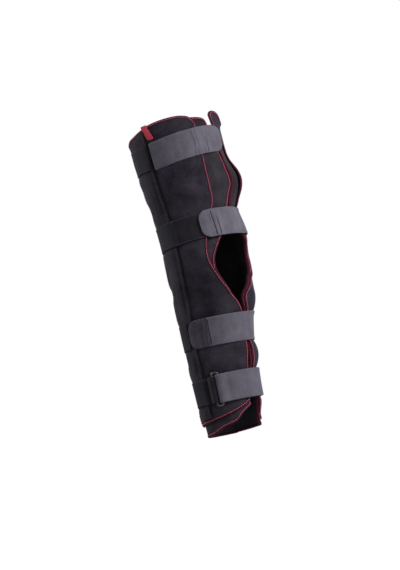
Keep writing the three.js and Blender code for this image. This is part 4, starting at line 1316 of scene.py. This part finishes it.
def seam_across(name, run, width, place, inset, thread, radius=SEAM_THREAD):
    """A row of stitches from edge to edge."""
    height, across, out = line_across(run, width, place, inset, THREAD_LIFT)
    stitches(name, np.full(LINE_POINTS, float(place)), height + across, out, 0, thread,
             SEAM_STITCH, SEAM_GAP, radius)


def fold_shadow_line(name, run, place, radius):
    """A painted shadow: one dark line from edge to edge of a strap, in sewn-down folds and at tab
    seams.
    """
    height, across, out = line_across(run, STRAP_WIDTH, place, FOLD_INSET, FOLD_LIFT)
    angles = place + FOLD_WAVER * np.sin(across / WAVER_LENGTH + place)
    stitches(name, angles, height + across, out, 0, "dark_thread_and_fold_shadow",
             STRAP_WIDTH - FOLD_SHORT, 0.00005, radius, steps=24, bluntness=60)


calf_seam_start = 0.62 * calf_run[3][-1]
for name, run, first, last in (
        ("thigh_strap", thigh_run, NEAR_SQUARE_END, NEAR_ROUND_END),
        ("above_knee_strap", above_run, NEAR_ROUND_END, NEAR_SQUARE_END),
        ("below_knee_strap", below_run, NEAR_ROUND_END, NEAR_SQUARE_END),
        ("calf_strap", calf_run, calf_seam_start, NEAR_ROUND_END)):
    seam_along(name, run, STRAP_WIDTH, SEAM_INSET, first, last, "grey_thread")
seam_across("thigh_strap_end_seam", thigh_run, STRAP_WIDTH, END_SEAM_ANGLE, END_SEAM_INSET,
            "grey_thread")
# Painted shadows: dark cords along the straps' sewn-down folds and tab seams.
for name, run, place, radius in (
        ("thigh_strap_tab_seam_shadow", thigh_run, 13, 0.0006),
        ("thigh_strap_fold_shadow", thigh_run, 27.5, 0.0005),
        ("above_knee_strap_tab_seam", above_run, 31, 0.0009),
        ("above_knee_strap_fold_shadow", above_run, 24.8, 0.0006),
        ("below_knee_strap_tab_seam", below_run, 63, 0.0009)):
    fold_shadow_line(name, run, place, radius)
print("stitched rows:", sum("stitches" in name or "seam" in name for name in made_faces))

# %% [markdown]
# Black bands carry each strap round the back. They run over both pockets and the back
# panel, stepping down from one layer to the next. They are a little narrower than the
# straps.

# %% The bands round the back
STEP_NEAR, STEP_FAR = 2, 9
BAND_SEAM_INSET, BAND_SEAM_END, BAND_THREAD = 0.0022, 0.003, 0.00038
START_SEAM_TURN, START_SEAM_INSET, START_SEAM_THREAD = 3.5, 0.004, 0.00035


def band_path(start, finish):
    """From the outer side round the back to the inner side, layer by layer."""
    low = ON_PANEL if start < POCKET_FRONT - 4 else ON_POCKET
    rows = [(start, low), (max(POCKET_FRONT - 6, start + 1), low),
            (max(POCKET_FRONT - STEP_NEAR, start + 2), ON_POCKET),
            (POCKET_BACK + STEP_NEAR, ON_POCKET), (POCKET_BACK + STEP_FAR, ON_PANEL),
            (PANEL_BACK_EDGE + STEP_NEAR, ON_PANEL), (PANEL_BACK_EDGE + STEP_FAR, ON_PAD),
            (360 - PANEL_BACK_EDGE - STEP_FAR, ON_PAD),
            (360 - PANEL_BACK_EDGE - STEP_NEAR, ON_PANEL),
            (360 - POCKET_BACK - STEP_FAR, ON_PANEL), (360 - POCKET_BACK - STEP_NEAR, ON_POCKET),
            (360 - POCKET_FRONT + STEP_NEAR, ON_POCKET),
            (360 + finish - 1, ON_INNER_SIDE), (360 + finish, ON_INNER_SIDE)]
    return lying(rows, BAND, 3)


for name, level, start, finish in (
        ("thigh_band", THIGH_LEVEL, POCKET_FRONT + 2, STRAP_SEAM + 20),
        ("above_knee_band", ABOVE_KNEE_LEVEL, 44, STRAP_SEAM - 1.5),
        ("below_knee_band", BELOW_KNEE_LEVEL, 98.5, STRAP_SEAM - 1.5),
        ("calf_band", CALF_LEVEL, KEEPER_END + 1.5, STRAP_SEAM - 1.5)):
    run = strap(name, BLACK_BAND, band_path(start, finish), level)
    seam_along(name, run, BAND_WIDTH, BAND_SEAM_INSET, BAND_SEAM_END, BAND_SEAM_END,
               "band_thread", BAND_THREAD)
    seam_across(name + "_start_seam", run, BAND_WIDTH, start + START_SEAM_TURN,
                START_SEAM_INSET, "dark_thread_and_fold_shadow", START_SEAM_THREAD)
print("pieces so far:", len(made_faces))

# %% [markdown]
# ## The ring
# The ring is a bent wire of square section with rounded corners, so a small rounded
# square is swept round a rounded rectangle. It is placed by two points on the form, one
# at each end of its bars, exactly where the CAD ring lies.

# %% Wire ring
CORNER_STEPS = 7
WIRE_POINTS = 16
WIRE_SQUARENESS = 0.62
RING_CORNER = RING_WIRE * 0.75


def ring_outline(width, tall, radius):
    """Points and outward directions along a rounded rectangle."""
    points = []
    for right, top, first in ((1, -1, -90), (1, 1, 0), (-1, 1, 90), (-1, -1, 180)):
        for k in range(CORNER_STEPS + 1):
            turn = math.radians(first + 90 * k / CORNER_STEPS)
            x = right * (width / 2 - radius) + radius * math.cos(turn)
            y = top * (tall / 2 - radius) + radius * math.sin(turn)
            points.append((x, y, math.cos(turn), math.sin(turn)))
    return np.array(points)


def squared(wave):
    return np.sign(wave) * np.abs(wave) ** WIRE_SQUARENESS * RING_WIRE / 2


ring_turn = RING_FRONT + bar_to_bar / 2
ring_top, ring_foot = (on_form(np.array(ring_turn), np.array(ring_height + side * STRAP_WIDTH / 2),
                              bar_out, 0) for side in (1, -1))
ring_up = (ring_top - ring_foot) / np.linalg.norm(ring_top - ring_foot)
ahead = np.array([-math.cos(math.radians(ring_turn)), math.sin(math.radians(ring_turn)), 0])
outward = -np.cross(ring_up, ahead)
outward /= np.linalg.norm(outward)
ring_side = np.cross(ring_up, outward)
outline = ring_outline(bar_spacing, STRAP_WIDTH + 2 * RING_PLAY + RING_WIRE, RING_CORNER)
turn = np.linspace(0, 2 * math.pi, WIRE_POINTS, endpoint=False)
local = outline[:, None, :2] + outline[:, None, 2:] * squared(np.cos(turn))[None, :, None]
rings = ((ring_top + ring_foot) / 2 + local[..., :1] * ring_side + local[..., 1:] * ring_up
         + squared(np.sin(turn))[None, :, None] * outward)
ids = np.arange(rings[..., 0].size).reshape(rings.shape[:2])
ids = np.pad(ids, ((0, 1), (0, 1)), mode="wrap")
make_piece("calf_ring_wire", rings.reshape(-1, 3), grid_faces(ids), "ring_metal",
           "calf_ring")
print("ring faces:", made_faces["calf_ring_wire"])

# %% [markdown]
# ## The label
# A small red cloth label is folded over the rim. It is bare: only its weave, its rounded
# end and its slightly curled sides are modelled. It hangs a little askew, as a small
# label that is sewn in by hand does.

# %% Folded label
LABEL_ANGLE = 84
LABEL_WIDTH = 0.012
LABEL_DROP = 0.026
LABEL_LEAN = 0.0085
LABEL_TOP_BACK = 0.0050
LABEL_BEND = 0.0021
LABEL_CURL = 0.0005
LABEL_ROUND = 0.0035
LABEL_FOLD = math.pi * 0.62
DROP_ROWS = 22
rim_up = float(height_of(follow(LATERAL_RIM, np.array(float(LABEL_ANGLE)))))
face = ON_PANEL + LABEL / 2
turns = np.linspace(0, LABEL_FOLD, 9)
drop = np.linspace(-LABEL_DROP, -0.001, DROP_ROWS)
label_height = np.concatenate([rim_up + drop, rim_up + LABEL_BEND * np.sin(turns)])
label_out = np.concatenate([np.full(DROP_ROWS, face), face - LABEL_BEND * (1 - np.cos(turns))])
step_up, step_out = np.gradient(label_height), np.gradient(label_out)
norm = np.hypot(step_up, step_out)
gone = np.concatenate([[0], np.cumsum(np.hypot(np.diff(label_height), np.diff(label_out)))])
width = half_width(LABEL_WIDTH, gone, LABEL_ROUND)[:, None] * SIDES
thick = section_out(np.ones(len(ACROSS))) * LABEL / 2
curl = LABEL_CURL * np.abs(width / (LABEL_WIDTH / 2)) ** 3
radius = form_radius(np.array(rim_up)) + ON_PANEL
lean = LABEL_TOP_BACK - LABEL_LEAN * np.clip((rim_up - label_height) / LABEL_DROP, 0, 1)
angle = LABEL_ANGLE + np.degrees((width + lean[:, None]) / radius)
out = label_out[:, None] + (step_up / norm)[:, None] * thick + curl
height = label_height[:, None] - (step_out / norm)[:, None] * thick
swept("rim_label_cloth", on_form(angle, height, out, PANEL_RISE), "label_cloth",
      "rim_label", metres_map(gone[:, None], width))
print("label width", LABEL_WIDTH)

# %% [markdown]
# ## Camera, light and floor
# The camera looks slightly upwards at the outer side of the brace and is tilted, so the
# brace leans in the picture. Its lens is long, which keeps the brace from spreading
# towards the viewer.

# %% Camera
AZIMUTH, ELEVATION, ROLL = (math.radians(a) for a in (-50, -6.5, -12.5))
TARGET = Vector((-0.01225, 0.01763, -0.01710))
DISTANCE = 3.2
LENS = 113.2
camera_data = bpy.data.cameras.new("camera")
camera = bpy.data.objects.new("camera", camera_data)
bpy.context.scene.collection.objects.link(camera)
away = Vector((math.sin(AZIMUTH) * math.cos(ELEVATION), -math.cos(AZIMUTH) * math.cos(ELEVATION),
               math.sin(ELEVATION)))
level_right = (-away).cross(Vector((0, 0, 1))).normalized()
level_up = level_right.cross(-away)
right = level_right * math.cos(ROLL) + level_up * math.sin(ROLL)
up = level_up * math.cos(ROLL) - level_right * math.sin(ROLL)
turned = Matrix((right, up, away)).transposed().to_4x4()
camera.matrix_world = Matrix.Translation(TARGET + away * DISTANCE) @ turned
camera_data.lens = LENS
camera_data.sensor_width = 36
camera_data.clip_end = 60
bpy.context.scene.camera = camera
print("camera height", round((TARGET + away * DISTANCE).z, 3))

# %% [markdown]
# The main lamp is large, soft and in front of the brace. Two weaker ones keep the back and
# the inner side from going black. The world is seen as pure white, but it lights the
# scene less than that, or the dark fabrics would look grey. The Light Path node tells
# the two apart.

# %% Lights and world
SEEN_SKY, LIGHT_SKY = 1.0, 0.37
# name, place, size, power
LAMPS = (("key", (0.26, -1.88, 0.85), 0.9, 48),
         ("back", (-0.9, 2.1, 1.3), 1.2, 42),
         ("side", (2.3, 0.5, 0.7), 1.0, 16))
for name, place, size, power in LAMPS:
    data = bpy.data.lights.new(name, "AREA")
    data.shape, data.size, data.energy = "DISK", size, power
    lamp = bpy.data.objects.new(name, data)
    bpy.context.scene.collection.objects.link(lamp)
    lamp.location = place
    lamp.rotation_euler = (-Vector(place)).to_track_quat("-Z", "Y").to_euler()
world = bpy.data.worlds.new("studio")
bpy.context.scene.world = world
world.use_nodes = True


def choose_by_camera_ray(tree, other, seen, put):
    """Shows one shader to the camera and another to all other rays."""
    choose = tree.nodes.new("ShaderNodeMixShader")
    is_camera = tree.nodes.new("ShaderNodeLightPath").outputs["Is Camera Ray"]
    for socket, source in zip(choose.inputs, (is_camera, other.outputs[0], seen.outputs[0])):
        tree.links.new(source, socket)
    tree.links.new(choose.outputs[0], put)


sky = world.node_tree
seen_sky, light_sky = sky.nodes["Background"], sky.nodes.new("ShaderNodeBackground")
for background, strength in ((seen_sky, SEEN_SKY), (light_sky, LIGHT_SKY)):
    background.inputs["Color"].default_value = (1, 1, 1, 1)
    background.inputs["Strength"].default_value = strength
choose_by_camera_ray(sky, light_sky, seen_sky, sky.nodes["World Output"].inputs["Surface"])
bpy.context.scene.view_settings.view_transform = "Standard"
print("lamps:", [name for name, *_ in LAMPS])

# %% [markdown]
# The floor is a plain pale sheet that runs on to the horizon. It glows a little, so that
# it is as white as the sky behind it and no horizon shows. To all rays but the camera's
# it is a mid grey, so it doesn't throw too much light up at the brace.

# %% Floor
FLOOR = -0.45
FAR = 25
floor_mesh = bpy.data.meshes.new("floor")
floor_mesh.from_pydata([(-FAR, -FAR, FLOOR), (FAR, -FAR, FLOOR), (FAR, FAR, FLOOR),
                        (-FAR, FAR, FLOOR)], [], [(0, 1, 2, 3)])
floor = bpy.data.objects.new("floor", floor_mesh)
bpy.context.scene.collection.objects.link(floor)
tree, shader, put = material_parts("floor_paint")
grain = node(tree, "TexNoise", Vector=node(tree, "TexCoord").outputs["Object"], Scale=60.0,
             Detail=2.0)
give(tree, shader.inputs["Base Color"],
     blend_colours(tree, grain.outputs["Fac"], (0.90, 0.90, 0.90, 1), (0.93, 0.93, 0.93, 1)))
for label, value in (("Roughness", 0.9), ("Specular IOR Level", 0.0),
                     ("Emission Color", (1, 1, 1, 1)), ("Emission Strength", 0.66)):
    shader.inputs[label].default_value = value
shade = tree.nodes.new("ShaderNodeBsdfDiffuse")
shade.inputs["Color"].default_value = (0.4, 0.4, 0.4, 1)
choose_by_camera_ray(tree, shade, shader, put.inputs[0])
floor_mesh.materials.append(MATERIALS["floor_paint"])
print("floor at", FLOOR)

# %% [markdown]
# ## Faces
# Last, the number of faces in all is printed. The dressed brace is nearly as large as the
# CAD frame, because dressing adds only the swelling of the padding, the tape round the
# edges, the pleats and the stitches.

# %% Faces in all, and the end
print("faces in all:", sum(made_faces.values()))
